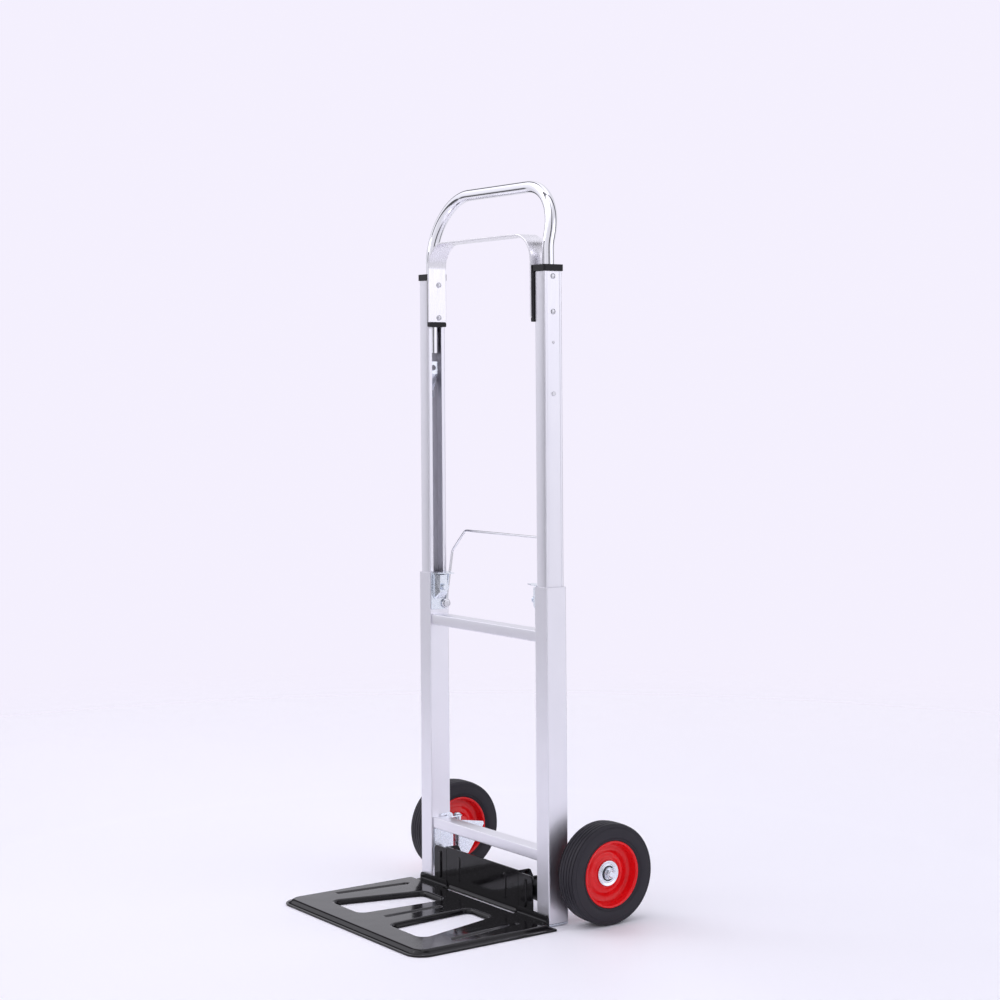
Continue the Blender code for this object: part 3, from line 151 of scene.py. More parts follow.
# ---- camera and studio directions ----
CAMERA_PLACE = (2.5533, RAIL_Y - 1.7887, 0.8006)
CAMERA_AZIMUTH = 54.66
CAMERA_ROLL = -0.41
CAMERA_LENS = 72.56
CAMERA_SHIFT = -0.1157
LEFT_FRONT = (-0.816, -0.578, 0.0)
WINDOW = (0.82, 0.58, 0.12)
OVERHEAD = (-0.2, -0.2, 0.95)
DARK_PANELS = ((-0.55, -0.83, 0), (0.95, -0.30, 0), (-0.98, 0.18, 0), (0.25, 0.97, 0))
DARK_LOW_PANEL = (-0.78, -0.57, -0.30)


# ---- materials ----
class Finish:
    """A material, with short ways to wire its nodes."""

    def __init__(self, name, colour, roughness, sockets=None):
        self.material = bpy.data.materials.new(name)
        self.material.use_nodes = True
        self.tree = self.material.node_tree
        self.shader = self.tree.nodes["Principled BSDF"]
        self.shader.inputs["Base Color"].default_value = (*colour, 1)
        self.shader.inputs["Roughness"].default_value = roughness
        for socket, value in (sockets or {}).items():
            self.shader.inputs[socket].default_value = value
        self.place = self.tree.nodes.new("ShaderNodeTexCoord").outputs["Object"]

    def node(self, kind, inputs, output=0):
        made = self.tree.nodes.new(kind)
        for key, value in inputs.items():
            if isinstance(value, bpy.types.NodeSocket):
                self.tree.links.new(value, made.inputs[key])
            else:
                made.inputs[key].default_value = value
        return made.outputs[output]

    def noise(self, scale, stretch=(1, 1, 1), detail=3.0, rough=0.55):
        vector = self.node("ShaderNodeMapping", {"Vector": self.place, "Scale": stretch})
        settings = {"Vector": vector, "Scale": scale, "Detail": detail, "Roughness": rough}
        return self.node("ShaderNodeTexNoise", settings)

    def range(self, value, start, end, low, high):
        settings = {"From Min": start, "From Max": end, "To Min": low, "To Max": high}
        return self.node("ShaderNodeMapRange", {"Value": value, **settings})

    def blend(self, share, first, second):
        made = self.tree.nodes.new("ShaderNodeMix")
        made.data_type = "RGBA"
        self.tree.links.new(share, made.inputs[0])
        for socket, value in ((made.inputs[6], first), (made.inputs[7], second)):
            if isinstance(value, bpy.types.NodeSocket):
                self.tree.links.new(value, socket)
            else:
                socket.default_value = (*value, 1)
        return made.outputs[2]

    def colour(self, value):
        self.tree.links.new(value, self.shader.inputs["Base Color"])

    def roughness(self, value):
        self.tree.links.new(value, self.shader.inputs["Roughness"])

    def bump(self, heights):
        """Bumps laid one over another: (height, strength, distance) each."""
        normal = None
        for height, strength, distance in heights:
            settings = {"Height": height, "Strength": strength, "Distance": distance}
            if normal:
                settings["Normal"] = normal
            normal = self.node("ShaderNodeBump", settings)
        self.tree.links.new(normal, self.shader.inputs["Normal"])


def extruded_aluminium(name, along):
    """Satin anodising with die lines along the extrusion."""
    finish = Finish(name, (0.80, 0.79, 0.84), 0.34, {"Metallic": 1.0})
    stretch = [1.0, 1.0, 1.0]
    stretch["XYZ".index(along)] = 0.012
    lines = finish.noise(620, stretch, 2.0)
    grain = finish.noise(2600, (1, 1, 1), 1.0)
    cloud = finish.noise(9, (1, 1, 1), 3.0)
    finish.colour(finish.blend(cloud, (0.775, 0.77, 0.825), (0.84, 0.83, 0.875)))
    finish.roughness(finish.range(lines, 0.3, 0.7, 0.29, 0.39))
    finish.bump([(lines, 0.12, 0.00008), (grain, 0.10, 0.00003)])
    return finish.material


def brushed_aluminium(name):
    finish = Finish(name, (0.84, 0.83, 0.86), 0.3, {"Metallic": 1.0, "Anisotropic": 0.35})
    lines = finish.noise(1500, (0.02, 1, 0.02), 2.0)
    cloud = finish.noise(14, (1, 1, 1), 3.0)
    finish.colour(finish.blend(cloud, (0.80, 0.79, 0.83), (0.88, 0.87, 0.90)))
    finish.roughness(finish.range(lines, 0.3, 0.7, 0.22, 0.36))
    finish.bump([(lines, 0.15, 0.00005)])
    return finish.material


def chrome(name):
    finish = Finish(name, (0.87, 0.87, 0.90), 0.06, {"Metallic": 1.0})
    haze = finish.noise(22, (1, 1, 1), 4.0)
    wipes = finish.noise(240, (1, 1, 0.15), 3.0)
    finish.colour(finish.blend(haze, (0.83, 0.83, 0.87), (0.90, 0.90, 0.92)))
    finish.roughness(finish.range(haze, 0.35, 0.75, 0.045, 0.11))
    finish.bump([(wipes, 0.04, 0.00004)])
    return finish.material


def zinc_plate(name):
    """Bright zinc with the faint blue and straw clouds of its passivation."""
    finish = Finish(name, (0.72, 0.78, 0.84), 0.26, {"Metallic": 1.0})
    cloud = finish.noise(55, (1, 1, 1), 4.0)
    fine = finish.noise(420, (1, 1, 1), 3.0)
    tint = finish.blend(cloud, (0.74, 0.80, 0.90), (0.84, 0.87, 0.90))
    finish.colour(finish.blend(finish.range(fine, 0.45, 0.8, 0.0, 0.4), tint, (0.90, 0.91, 0.93)))
    finish.roughness(finish.range(fine, 0.3, 0.7, 0.20, 0.32))
    finish.bump([(fine, 0.08, 0.00006)])
    return finish.material


def plated_steel(name):
    finish = Finish(name, (0.63, 0.63, 0.66), 0.3, {"Metallic": 1.0})
    fine = finish.noise(700, (1, 1, 1), 3.0)
    finish.colour(finish.blend(fine, (0.55, 0.55, 0.58), (0.74, 0.74, 0.77)))
    finish.roughness(finish.range(fine, 0.3, 0.7, 0.2, 0.4))
    finish.bump([(fine, 0.1, 0.00005)])
    return finish.material


def black_enamel(name):
    """Gloss enamel on pressed sheet: orange peel, wide waves of the sheet, and light rubbing."""
    coat = {"Coat Weight": 0.10, "Coat Roughness": 0.03, "IOR": 1.30}
    finish = Finish(name, (0.006, 0.0055, 0.0065), 0.12, coat)
    peel = finish.noise(330, (1, 1, 1), 2.0)
    wave = finish.noise(15, (1, 1, 1), 2.0)
    scuffs = finish.noise(120, (1, 0.14, 1), 5.0, 0.7)
    dust = finish.noise(1900, (1, 1, 1), 2.0)
    dusty = finish.range(dust, 0.70, 0.82, 0.0, 0.25)
    base = finish.blend(wave, (0.0045, 0.0042, 0.005), (0.009, 0.008, 0.0095))
    finish.colour(finish.blend(dusty, base, (0.05, 0.047, 0.05)))
    finish.roughness(finish.range(scuffs, 0.35, 0.75, 0.08, 0.18))
    finish.bump([(wave, 0.3, 0.0012), (peel, 0.10, 0.00014)])
    return finish.material


def black_plastic(name):
    finish = Finish(name, (0.008, 0.008, 0.009), 0.45, {"Specular IOR Level": 0.3})
    grain = finish.noise(1300, (1, 1, 1), 2.0)
    cloud = finish.noise(90, (1, 1, 1), 3.0)
    finish.colour(finish.blend(cloud, (0.006, 0.006, 0.007), (0.012, 0.0115, 0.0135)))
    finish.roughness(finish.range(cloud, 0.3, 0.7, 0.34, 0.50))
    finish.bump([(grain, 0.25, 0.00012)])
    return finish.material


def tyre_rubber(name):
    """Solid rubber with mould haze and a little floor dust on it."""
    finish = Finish(name, (0.026, 0.024, 0.030), 0.6, {"Specular IOR Level": 0.25})
    grain = finish.noise(900, (1, 1, 1), 3.0)
    haze = finish.noise(45, (1, 1, 1), 4.0)
    tone = finish.blend(haze, (0.020, 0.0185, 0.024), (0.034, 0.031, 0.039))
    dusty = finish.range(grain, 0.62, 0.82, 0.0, 0.3)
    finish.colour(finish.blend(dusty, tone, (0.070, 0.066, 0.075)))
    finish.roughness(finish.range(haze, 0.3, 0.7, 0.46, 0.66))
    finish.bump([(grain, 0.22, 0.00014)])
    return finish.material


def red_enamel(name):
    gloss = {"Coat Weight": 0.35, "Coat Roughness": 0.04, "Specular IOR Level": 0.2}
    finish = Finish(name, (0.80, 0.006, 0.010), 0.26, gloss)
    peel = finish.noise(420, (1, 1, 1), 2.0)
    cloud = finish.noise(38, (1, 1, 1), 3.0)
    finish.colour(finish.blend(cloud, (0.76, 0.004, 0.008), (0.86, 0.008, 0.012)))
    finish.roughness(finish.range(cloud, 0.3, 0.7, 0.2, 0.32))
    finish.bump([(peel, 0.12, 0.00015)])
    return finish.material


# Painted shade: a near-black finish for the split ring that stands for the shadow in the groove round each
# wheel's washer.
def shaded_gap(name):
    finish = Finish(name, (0.03, 0.03, 0.034), 0.6)
    grain = finish.noise(800, (1, 1, 1), 2.0)
    finish.colour(finish.blend(grain, (0.02, 0.02, 0.024), (0.045, 0.044, 0.05)))
    finish.bump([(grain, 0.2, 0.0001)])
    return finish.material


FINISHES = {
    "rail": (extruded_aluminium("satin_aluminium_upright", "Z"), "aluminium"),
    "bar": (extruded_aluminium("satin_aluminium_across", "X"), "aluminium"),
    "brace": (brushed_aluminium("brushed_aluminium"), "aluminium"),
    "chrome": (chrome("bright_chrome"), "chrome"),
    "zinc": (zinc_plate("blue_zinc"), "zinc"),
    "steel": (plated_steel("plated_steel"), "steel"),
    "enamel": (black_enamel("black_gloss_enamel"), "black_enamel"),
    "plastic": (black_plastic("moulded_black_plastic"), "black_plastic"),
    "rubber": (tyre_rubber("solid_tyre_rubber"), "tyre_rubber"),
    "red": (red_enamel("red_gloss_enamel"), "red_paint"),
    # The next finish is painted shade, for the dark ring in each bearing's groove.
    "painted_shade_ring": (shaded_gap("painted_shade_ring_finish"), "black_plastic"),
}


# ---- outlines: lists of 2-D points, anticlockwise ----
def arc(centre, radius, start, end, steps):
    turns = [math.radians(start + (end - start) * i / steps) for i in range(steps + 1)]
    return [(centre[0] + radius * math.cos(t), centre[1] + radius * math.sin(t)) for t in turns]


def circle(centre, radius, steps):
    return arc(centre, radius, 0, 360 - 360 / steps, steps - 1)


def filleted(corners, radius, steps=5):
    """A closed outline with each corner, inner or outer, rounded. A corner may name its radius."""
    points = []
    count = len(corners)
    for i in range(count):
        before, here, after = (Vector(corners[(i + k) % count][:2]) for k in (-1, 0, 1))
        size = corners[i][2] if len(corners[i]) > 2 else radius
        to_before = (before - here).normalized()
        to_after = (after - here).normalized()
        half = to_before.angle(to_after) / 2
        centre = here + (to_before + to_after).normalized() * size / math.sin(half)
        start = here + to_before * size / math.tan(half) - centre
        sweep = math.copysign(math.pi - 2 * half, to_before.cross(to_after) * -1)
        for step in range(steps + 1):
            points.append(tuple(centre + Matrix.Rotation(sweep * step / steps, 2) @ start))
    return points


def rectangle(u0, u1, v0, v1):
    return [(u0, v0), (u1, v0), (u1, v1), (u0, v1)]


def grown(corners, distance):
    """A convex anticlockwise outline with each side moved outwards."""
    lines = []
    for (u0, v0), (u1, v1) in zip(corners, corners[1:] + corners[:1]):
        length = math.hypot(u1 - u0, v1 - v0)
        normal = ((v1 - v0) / length, (u0 - u1) / length)
        lines.append((normal, normal[0] * u0 + normal[1] * v0 + distance))
    points = []
    for ((a, b), c), ((d, e), f) in zip(lines[-1:] + lines[:-1], lines):
        det = a * e - b * d
        points.append(((c * e - b * f) / det, (a * f - c * d) / det))
    return points


def smooth_step(share):
    return share * share * (3 - 2 * share)


# ---- meshes ----
AXES = {
    "X": lambda u, v, w: (w, u, v),
    "Y": lambda u, v, w: (u, w, v),
    "Z": lambda u, v, w: (u, v, w),
}


def ring_of(bm, outline, along, axis):
    return [bm.verts.new(AXES[axis](u, v, along)) for u, v in outline]


def bridge(bm, rings, closed=False):
    count = len(rings[0])
    pairs = list(zip(rings, rings[1:]))
    if closed:
        pairs.append((rings[-1], rings[0]))
    for low, high in pairs:
        for i in range(count):
            j = (i + 1) % count
            bm.faces.new((low[i], low[j], high[j], high[i]))


def prism(outline, low, high, axis="Z", bm=None):
    bm = bm or bmesh.new()
    rings = [ring_of(bm, outline, along, axis) for along in (low, high)]
    bridge(bm, rings)
    bm.faces.new(rings[0])
    bm.faces.new(rings[1])
    return bm


def pipe_prism(outer, inner, low, high, axis="Z", bm=None):
    bm = bm or bmesh.new()
    layers = ((outer, low), (outer, high), (inner, high), (inner, low))
    bridge(bm, [ring_of(bm, outline, along, axis) for outline, along in layers], closed=True)
    return bm


def turned(profile, steps, axis="X", closed=True, bm=None):
    """A solid turned from (radius, place along the axis) points; an open profile is capped."""
    bm = bm or bmesh.new()
    rings = [ring_of(bm, circle((0, 0), radius, steps), along, axis) for radius, along in profile]
    bridge(bm, rings, closed)
    if not closed:
        bm.faces.new(rings[0])
        bm.faces.new(rings[-1])
    return bm


def swept(path, radius, sides, bore=0.0, bm=None):
    """A round rod along a path, or with a bore a tube open at both ends."""
    bm = bm or bmesh.new()
    points = [Vector(point) for point in path]
    before = (points[1] - points[0]).normalized()
    normal = before.orthogonal().normalized()
    outer, inner = [], []
    for i, point in enumerate(points):
        ahead = (points[min(i + 1, len(points) - 1)] - points[max(i - 1, 0)]).normalized()
        normal = (before.rotation_difference(ahead) @ normal).normalized()
        before = ahead
        side = ahead.cross(normal)
        for ring, size in ((outer, radius), (inner, bore)):
            turns = [2 * math.pi * k / sides for k in range(sides)]
            spots = [point + (normal * math.cos(t) + side * math.sin(t)) * size for t in turns]
            ring.append([bm.verts.new(spot) for spot in spots] if size else None)
    if bore:
        bridge(bm, outer + inner[::-1], closed=True)
    else:
        bridge(bm, outer)
        bm.faces.new(outer[0])
        bm.faces.new(outer[-1])
    return bm


def bent_path(points, radii, steps):
    """A 3-D path through points with each inner corner rounded to its radius."""
    path = [Vector(points[0])]
    for i, radius in enumerate(radii, start=1):
        here = Vector(points[i])
        back = (Vector(points[i - 1]) - here).normalized()
        ahead = (Vector(points[i + 1]) - here).normalized()
        half = back.angle(ahead) / 2
        centre = here + (back + ahead).normalized() * radius / math.sin(half)
        start = here + back * radius / math.tan(half) - centre
        axis = start.cross(here - centre).normalized()
        for step in range(steps + 1):
            turn = Matrix.Rotation((math.pi - 2 * half) * step / steps, 3, axis)
            path.append(centre + turn @ start)
    path.append(Vector(points[-1]))
    return path


def soften(obj, width, segments=3, angle=35):
    """Rounds an object's sharp edges and keeps its flat faces flat in shading."""
    bevel = obj.modifiers.new("edges", "BEVEL")
    bevel.width = width
    bevel.segments = segments
    bevel.limit_method = "ANGLE"
    bevel.angle_limit = math.radians(angle)
    flat = obj.modifiers.new("flat_faces", "WEIGHTED_NORMAL")
    flat.keep_sharp = True


def piece(name, bm, body, finish, stands_for=(), at=(0, 0, 0), bevel=0.0, smooth=40):
    """A finished piece that rides on a body and may stand for CAD nodes."""
    bmesh.ops.recalc_face_normals(bm, faces=bm.faces)
    mesh = bpy.data.meshes.new(name)
    bm.to_mesh(mesh)
    bm.free()
    mesh.shade_smooth()
    mesh.set_sharp_from_angle(angle=math.radians(smooth))
    obj = bpy.data.objects.new(name, mesh)
    obj.location = Vector((0, RAIL_Y, 0)) + Vector(at)
    bpy.context.scene.collection.objects.link(obj)
    material, slot = FINISHES[finish]
    mesh.materials.append(material)
    if bevel:
        soften(obj, bevel)
    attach(obj, body)
    if stands_for:
        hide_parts(*stands_for)
    return obj


# ---- rails, bars, brace and handle ----
def lower_rail(name, side):
    half_w, half_d = RAIL_WIDTH / 2, RAIL_DEPTH / 2
    outer = filleted(rectangle(-half_w, half_w, -half_d, half_d), RAIL_CORNER)
    inside = (half_w - RAIL_WALL, half_d - RAIL_WALL)
    inner = filleted(rectangle(-inside[0], inside[0], -inside[1], inside[1]), RAIL_CORNER / 2)
    tube = pipe_prism(outer, inner, rail_low.z, rail_high.z)
    at = (side * RAIL_X, 0, 0)
    body, node = "lower_frame", f"lower_rail_{name}"
    piece(f"rail_tube_{name}", tube, body, "rail", [node], at, bevel=0.00035)


def upper_rail(name, side):
    """A channel that opens inwards between two lips, with a shallow groove down its web."""
    half_w, half_d = UPPER_WIDTH / 2, UPPER_DEPTH / 2
    inside_d = half_d - UPPER_WALL
    groove = half_d - UPPER_GROOVE_MARGIN
    fine, wide = 0.0003, 0.0014
    half = [
        (half_w - UPPER_GROOVE, groove - UPPER_GROOVE, fine),
        (half_w, groove, fine),
        (half_w, half_d, wide),
        (-half_w, half_d, wide),
        (-half_w, UPPER_LIP, fine),
        (-half_w + UPPER_WALL, UPPER_LIP, fine),
        (-half_w + UPPER_WALL, inside_d, fine),
        (half_w - UPPER_WEB, inside_d, fine),
    ]
    loop = half + [(u, -v, size) for u, v, size in reversed(half)]
    outline = [(side * u, v) for u, v in filleted(loop, fine, 4)]
    rail = prism(outline, upper_low.z, UPPER_TOP)
    at = (side * RAIL_X, 0, 0)
    body, node = "upper_frame", f"upper_rail_{name}"
    piece(f"slide_channel_{name}", rail, body, "rail", [node], at, smooth=25)


def crossbar(name, low, high, node):
    depth, height = high.y - low.y, high.z - low.z
    outer = filleted(rectangle(-depth / 2, depth / 2, -height / 2, height / 2), 0.0016)
    inside = (depth / 2 - BAR_WALL, height / 2 - BAR_WALL)
    inner = filleted(rectangle(-inside[0], inside[0], -inside[1], inside[1]), 0.0006)
    bar = pipe_prism(outer, inner, low.x, high.x, "X")
    centre = (low + high) / 2 - Vector((0, RAIL_Y, 0))
    piece(name, bar, "lower_frame", "bar", [node], centre)


def handle_brace():
    """A flat strip with rounded edges, bent into an arch."""
    outside, foot, top = brace_high.x, brace_low.z, brace_high.z
    width = brace_high.y - brace_low.y
    bend = BRACE_BEND + BRACE_THICKNESS
    steps = 22
    outer = [(outside, foot)] + arc((outside - bend, top - bend), bend, 0, 90, steps)
    inner = [(outside - BRACE_THICKNESS, foot)]
    inner += arc((outside - bend, top - bend), BRACE_BEND, 0, 90, steps)
    outer += [(-x, z) for x, z in reversed(outer)]
    inner += [(-x, z) for x, z in reversed(inner)]
    strip = prism(outer + inner[::-1], -width / 2, width / 2, "Y")
    at = (0, (brace_low.y + brace_high.y) / 2 - RAIL_Y, 0)
    piece("handle_arch", strip, "upper_frame", "brace", ["handle_brace"], at, bevel=0.0007)


def handle_tube():
    kink = UPPER_TOP + HANDLE_KINK
    grip = handle_high.z - HANDLE_RADIUS
    lean = handle_high.y - RAIL_Y - HANDLE_RADIUS
    half = [(RAIL_X, 0, handle_low.z), (RAIL_X, 0, kink), (RAIL_X, lean, grip)]
    points = half + [(-x, y, z) for x, y, z in reversed(half)]
    radii = (HANDLE_KINK_BEND, HANDLE_BEND, HANDLE_BEND, HANDLE_KINK_BEND)
    path = bent_path(points, radii, 26)
    tube = swept(path, HANDLE_RADIUS, 48, bore=HANDLE_RADIUS - HANDLE_WALL)
    piece("grip_tube", tube, "upper_frame", "chrome", ["handle_tube"])


def release_bail():
    eye = middle("bail_stud_right")
    eye_x = bail_high.x - BAIL_RADIUS
    tilt = (bail_high.y - RAIL_Y - BAIL_RADIUS - (eye.y - RAIL_Y)) / BAIL_RISE
    corners = [(eye_x, BAIL_EYE_RADIUS * 0.8), (eye_x, BAIL_SHOULDER)]
    corners += [(eye_x - BAIL_NARROWING, BAIL_RISE)]
    corners += [(-x, rise) for x, rise in reversed(corners)]
    points = [(x, rise * tilt, rise) for x, rise in corners]
    bail = swept(bent_path(points, BAIL_BENDS, 10), BAIL_RADIUS, 20)
    ring = circle((0, 0), (BAIL_EYE_RADIUS + BAIL_EYE_BORE) / 2, 40)
    wire = (BAIL_EYE_RADIUS - BAIL_EYE_BORE) / 2
    for _, side in SIDES:
        rings = []
        for u, v in ring:
            out = Vector((0, u, v)).normalized()
            spot = Vector((side * eye_x, u, v))
            turns = [2 * math.pi * k / 16 for k in range(16)]
            across = Vector((BAIL_RADIUS / wire, 0, 0))
            around = [spot + (out * math.cos(t) + across * math.sin(t)) * wire for t in turns]
            rings.append([bail.verts.new(point) for point in around])
        bridge(bail, rings, closed=True)
    at = (0, eye.y - RAIL_Y, eye.z)
    piece("bail_wire", bail, "bail", "chrome", ["release_bail"], at)


# ---- round fasteners, turned finely from their CAD profiles ----
def cad_profile(node, axis):
    """(radius, along) points of a turned CAD node, from end to end, and its centre line."""
    low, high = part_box(node)
    centre = (low + high) / 2
    index = "XYZ".index(axis)
    found = {}
    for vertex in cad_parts[node].data.vertices:
        offset = vertex.co - centre
        along = round(offset[index], 5)
        offset[index] = 0
        found.setdefault(along, set()).add(round(offset.length, 5))
    profile = []
    for along in sorted(found):
        radii = sorted(found[along])
        if profile and abs(profile[-1][0] - radii[0]) > abs(profile[-1][0] - radii[-1]):
            radii.reverse()
        profile += [(radius, along) for radius in radii]
    return profile, centre


def fine_turned(node, body, finish, axis="X", bevel=0.0002):
    profile, centre = cad_profile(node, axis)
    solid = turned(profile, 48, axis, closed=False)
    at = centre - Vector((0, RAIL_Y, 0))
    return piece(f"{node}_turned", solid, body, finish, [node], at, bevel)


def fine_ring(node, body, finish, bore):
    low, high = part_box(node)
    centre = (low + high) / 2
    half, radius = (high.x - low.x) / 2, (high.z - low.z) / 2
    profile = [(bore, -half), (radius, -half), (radius, half), (bore, half)]
    at = centre - Vector((0, RAIL_Y, 0))
    return piece(f"{node}_turned", turned(profile, 48), body, finish, [node], at, 0.00025)


def blind_rivet(name, side, drop, node):
    """A domed head with the mandrel's hole, over the brace, and a shank through to the web."""
    low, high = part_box(node)
    head = (high.z - low.z) / 2
    inside, outside = sorted((abs(low.x), abs(high.x)))
    dome = [(0.0011, 0.0006), (0.0014, 0.0001), (head * 0.55, 0.0), (head * 0.85, 0.0006)]
    dome += [(head, 0.0014), (head, 0.0020), (RIVET_RADIUS, 0.0020)]
    profile = [(radius, side * (inside + along)) for radius, along in dome]
    tail = [(RIVET_RADIUS, 0.0011), (head, 0.0009), (head * 0.8, 0.0002), (0.0012, 0.0)]
    profile += [(radius, side * (outside - along)) for radius, along in tail]
    solid = turned(profile, 40, closed=False)
    piece(name, solid, "upper_frame", "steel", [node], (0, 0, UPPER_TOP - drop))


def web_rivet(name, side):
    """A small domed rivet in the groove of the upper rail's web."""
    outside = RAIL_X + UPPER_WIDTH / 2 - UPPER_GROOVE
    dome = [(0.0024, -0.0010), (0.0024, 0.0), (0.0018, 0.0004), (0.0008, 0.00055)]
    profile = [(radius, side * (outside + along)) for radius, along in dome]
    solid = turned(profile, 24, closed=False)
    piece(f"web_rivet_{name}", solid, "upper_frame", "steel", at=(0, 0, 0.862))


def lock_spring(name, side):
    low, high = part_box(f"lock_spring_{name}")
    centre = (low + high) / 2
    wire = 0.0005
    radius = (high.z - low.z) / 2 - wire
    coils, per_coil = 6, 24
    count = coils * per_coil
    span = high.x - low.x - 2 * wire
    path = []
    for i in range(count + 1):
        angle = 2 * math.pi * i / per_coil
        along = span * (i / count - 0.5)
        path.append((side * along, radius * math.cos(angle), radius * math.sin(angle)))
    at = centre - Vector((0, RAIL_Y, 0))
    node = f"lock_spring_{name}"
    piece(f"{node}_coil", swept(path, wire, 10), "lower_frame", "steel", [node], at)


# ---- toe plate ----
def deck_outline(inset, steps=14):
    """The toe plate's outline with its two front corners rounded."""
    half = plate_high.x - inset
    front = plate_low.y - RAIL_Y + inset
    rear = UPSTAND_BACK - inset
    corner = PLATE_CORNER - inset
    points = arc((half - 0.004, rear - 0.004), 0.004, 0, 90, 4)
    points += arc((-half + 0.004, rear - 0.004), 0.004, 90, 180, 4)
    points += arc((-half + corner, front + corner), corner, 180, 270, steps)
    points += arc((half - corner, front + corner), corner, 270, 360, steps)
    return points


def capsule(start, end, radius, steps=10):
    turn = math.degrees(math.atan2(end[1] - start[1], end[0] - start[0]))
    points = arc(end, radius, turn - 90, turn + 90, steps)
    return points + arc(start, radius, turn + 90, turn + 270, steps)


def rim_profile():
    """(inset, height) from the floor edge, over the rolled rim, up to the crown."""
    roll = 0.0009
    points = [(0.0, 0.0003)]
    points += [(roll + u, PLATE_RIM - roll + v) for u, v in arc((0, 0), roll, 180, 90, 4)]
    steps = 12
    start = points[-1][0] + 0.0012
    for i in range(steps + 1):
        share = i / steps
        inset = start + (PLATE_SHOULDER - start) * share
        points.append((inset, PLATE_RIM + (PLATE_CROWN - PLATE_RIM) * smooth_step(share)))
    return points


def slot_outline(side, offset):
    corners = [(side * x, y) for x, y in SLOT_CORNERS]
    if side < 0:
        corners.reverse()
    return filleted(grown(corners, offset), SLOT_CORNER + offset, 10)


def toe_deck():
    """The pressed deck: a rolled rim, turned-down slots and shallow beads round a flat crown."""
    bm = bmesh.new()
    edges = []

    def lay(layers, close_first=False):
        rings = [ring_of(bm, outline, height, "Z") for outline, height in layers]
        bridge(bm, rings)
        if close_first:
            bm.faces.new(rings[0])
        last = rings[-1]
        for i, vertex in enumerate(last):
            edges.append(bm.edges.get((vertex, last[(i + 1) % len(last)])))

    lay([(deck_outline(inset), height) for inset, height in rim_profile()])
    low = 0.0012
    roll_low = low + 0.0004
    roll_rise = PLATE_CROWN - low - 0.0004
    for _, side in SIDES:
        layers = [(slot_outline(side, 0.0), low)]
        for degrees in range(0, 91, 9):
            turn = math.radians(degrees)
            offset = SLOT_ROLL * (1 - math.cos(turn))
            layers.append((slot_outline(side, offset), roll_low + roll_rise * math.sin(turn)))
        lay(layers)
    for start, end in BEADS:
        layers = []
        for i in range(1, 9):
            share = i / 8
            height = PLATE_CROWN - BEAD_DEPTH * (1 + math.cos(math.pi * share)) / 2
            layers.append((capsule(start, end, BEAD_HALF_WIDTH * share), height))
        lay(layers, close_first=True)
    bmesh.ops.triangle_fill(bm, use_beauty=True, edges=edges)
    obj = piece("toe_deck", bm, "toe_fold", "enamel", ["toe_plate"], smooth=60)
    sheet = obj.modifiers.new("sheet", "SOLIDIFY")
    sheet.thickness = PLATE_SHEET * 0.5
    sheet.offset = -1
    flat = obj.modifiers.new("flat_faces", "WEIGHTED_NORMAL")
    flat.keep_sharp = True
    return obj


def toe_upstand(name, side):
    """The flange beside the panel, along the deck's rear edge, with the bend it rises from."""
    inner, outer = PANEL_HALF_WIDTH - UPSTAND_LAP, rail_high.x
    middle_x, half = (inner + outer) / 2, (outer - inner) / 2
    bend = 0.0016
    rear = UPSTAND_BACK
    low = PLATE_RIM * 0.6
    bm = bmesh.new()
    profile = [(rear, low), (rear, UPSTAND_TOP), (UPSTAND_FRONT, UPSTAND_TOP)]
    centre = (UPSTAND_FRONT - bend, PLATE_CROWN + bend)
    profile += arc(centre, bend, 0, -90, 8)
    foot = UPSTAND_FRONT - bend - 0.006
    profile += [(foot, PLATE_CROWN - 0.0004), (foot, low + 0.004)]
    stations = [-half + 0.0005 + 0.004 * (1 - math.cos(math.radians(t))) for t in range(0, 91, 15)]
    stations += [-x for x in reversed(stations)]
    rings = []
    for x in stations:
        edge = max(0.0, (abs(x) - (half - 0.0045)) / 0.004)
        drop = 1 - 0.30 * edge * edge
        ring = [(y, low + (z - low) * drop) for y, z in profile]
        rings.append([bm.verts.new((side * middle_x + x, y, z)) for y, z in ring])
    bridge(bm, rings)
    bm.faces.new(rings[0])
    bm.faces.new(rings[-1])
    piece(f"toe_upstand_{name}", bm, "toe_fold", "enamel", bevel=0.0005)


def toe_ramp():
    """The pressed foot that carries the deck up into the upright panel."""
    half = PANEL_HALF_WIDTH - 0.003
    across, along = 40, 14
    front = UPSTAND_FRONT - RAMP_REACH
    bm = bmesh.new()
    rows = []
    for i in range(across + 1):
        x = -half + 2 * half * i / across
        ends = smooth_step(min(1.0, (half - abs(x)) / 0.006))
        row = []
        for j in range(along + 1):
            share = j / along
            rise = (RAMP_TOP - PLATE_CROWN) * ends * (1 - math.sqrt(1 - share * share))
            y = front + (UPSTAND_BACK - front) * share
            row.append(bm.verts.new((x, y, PLATE_CROWN - 0.0003 + rise)))
        rows.append(row)
    for low, high in zip(rows, rows[1:]):
        for j in range(along):
            bm.faces.new((low[j], high[j], high[j + 1], low[j + 1]))
    obj = piece("toe_ramp", bm, "toe_fold", "enamel", smooth=60)
    sheet = obj.modifiers.new("sheet", "SOLIDIFY")
    sheet.thickness = 0.0010
    sheet.offset = -1


def pressed_rib(name, x, low, high, radius, height):
    """A raised round-ended rib on the panel's front face."""
    face = PANEL_FACE
    wide = capsule((x, low), (x, high), radius, 8)
    narrow = capsule((x, low), (x, high), radius * 0.6, 8)
    layers = ((wide, face + 0.0006), (wide, face - 0.0001), (narrow, face - height))
    bm = bmesh.new()
    rings = [ring_of(bm, outline, along, "Y") for outline, along in layers]
    bridge(bm, rings)
    bm.faces.new(rings[-1])
    piece(name, bm, "toe_fold", "enamel", bevel=0.0004)


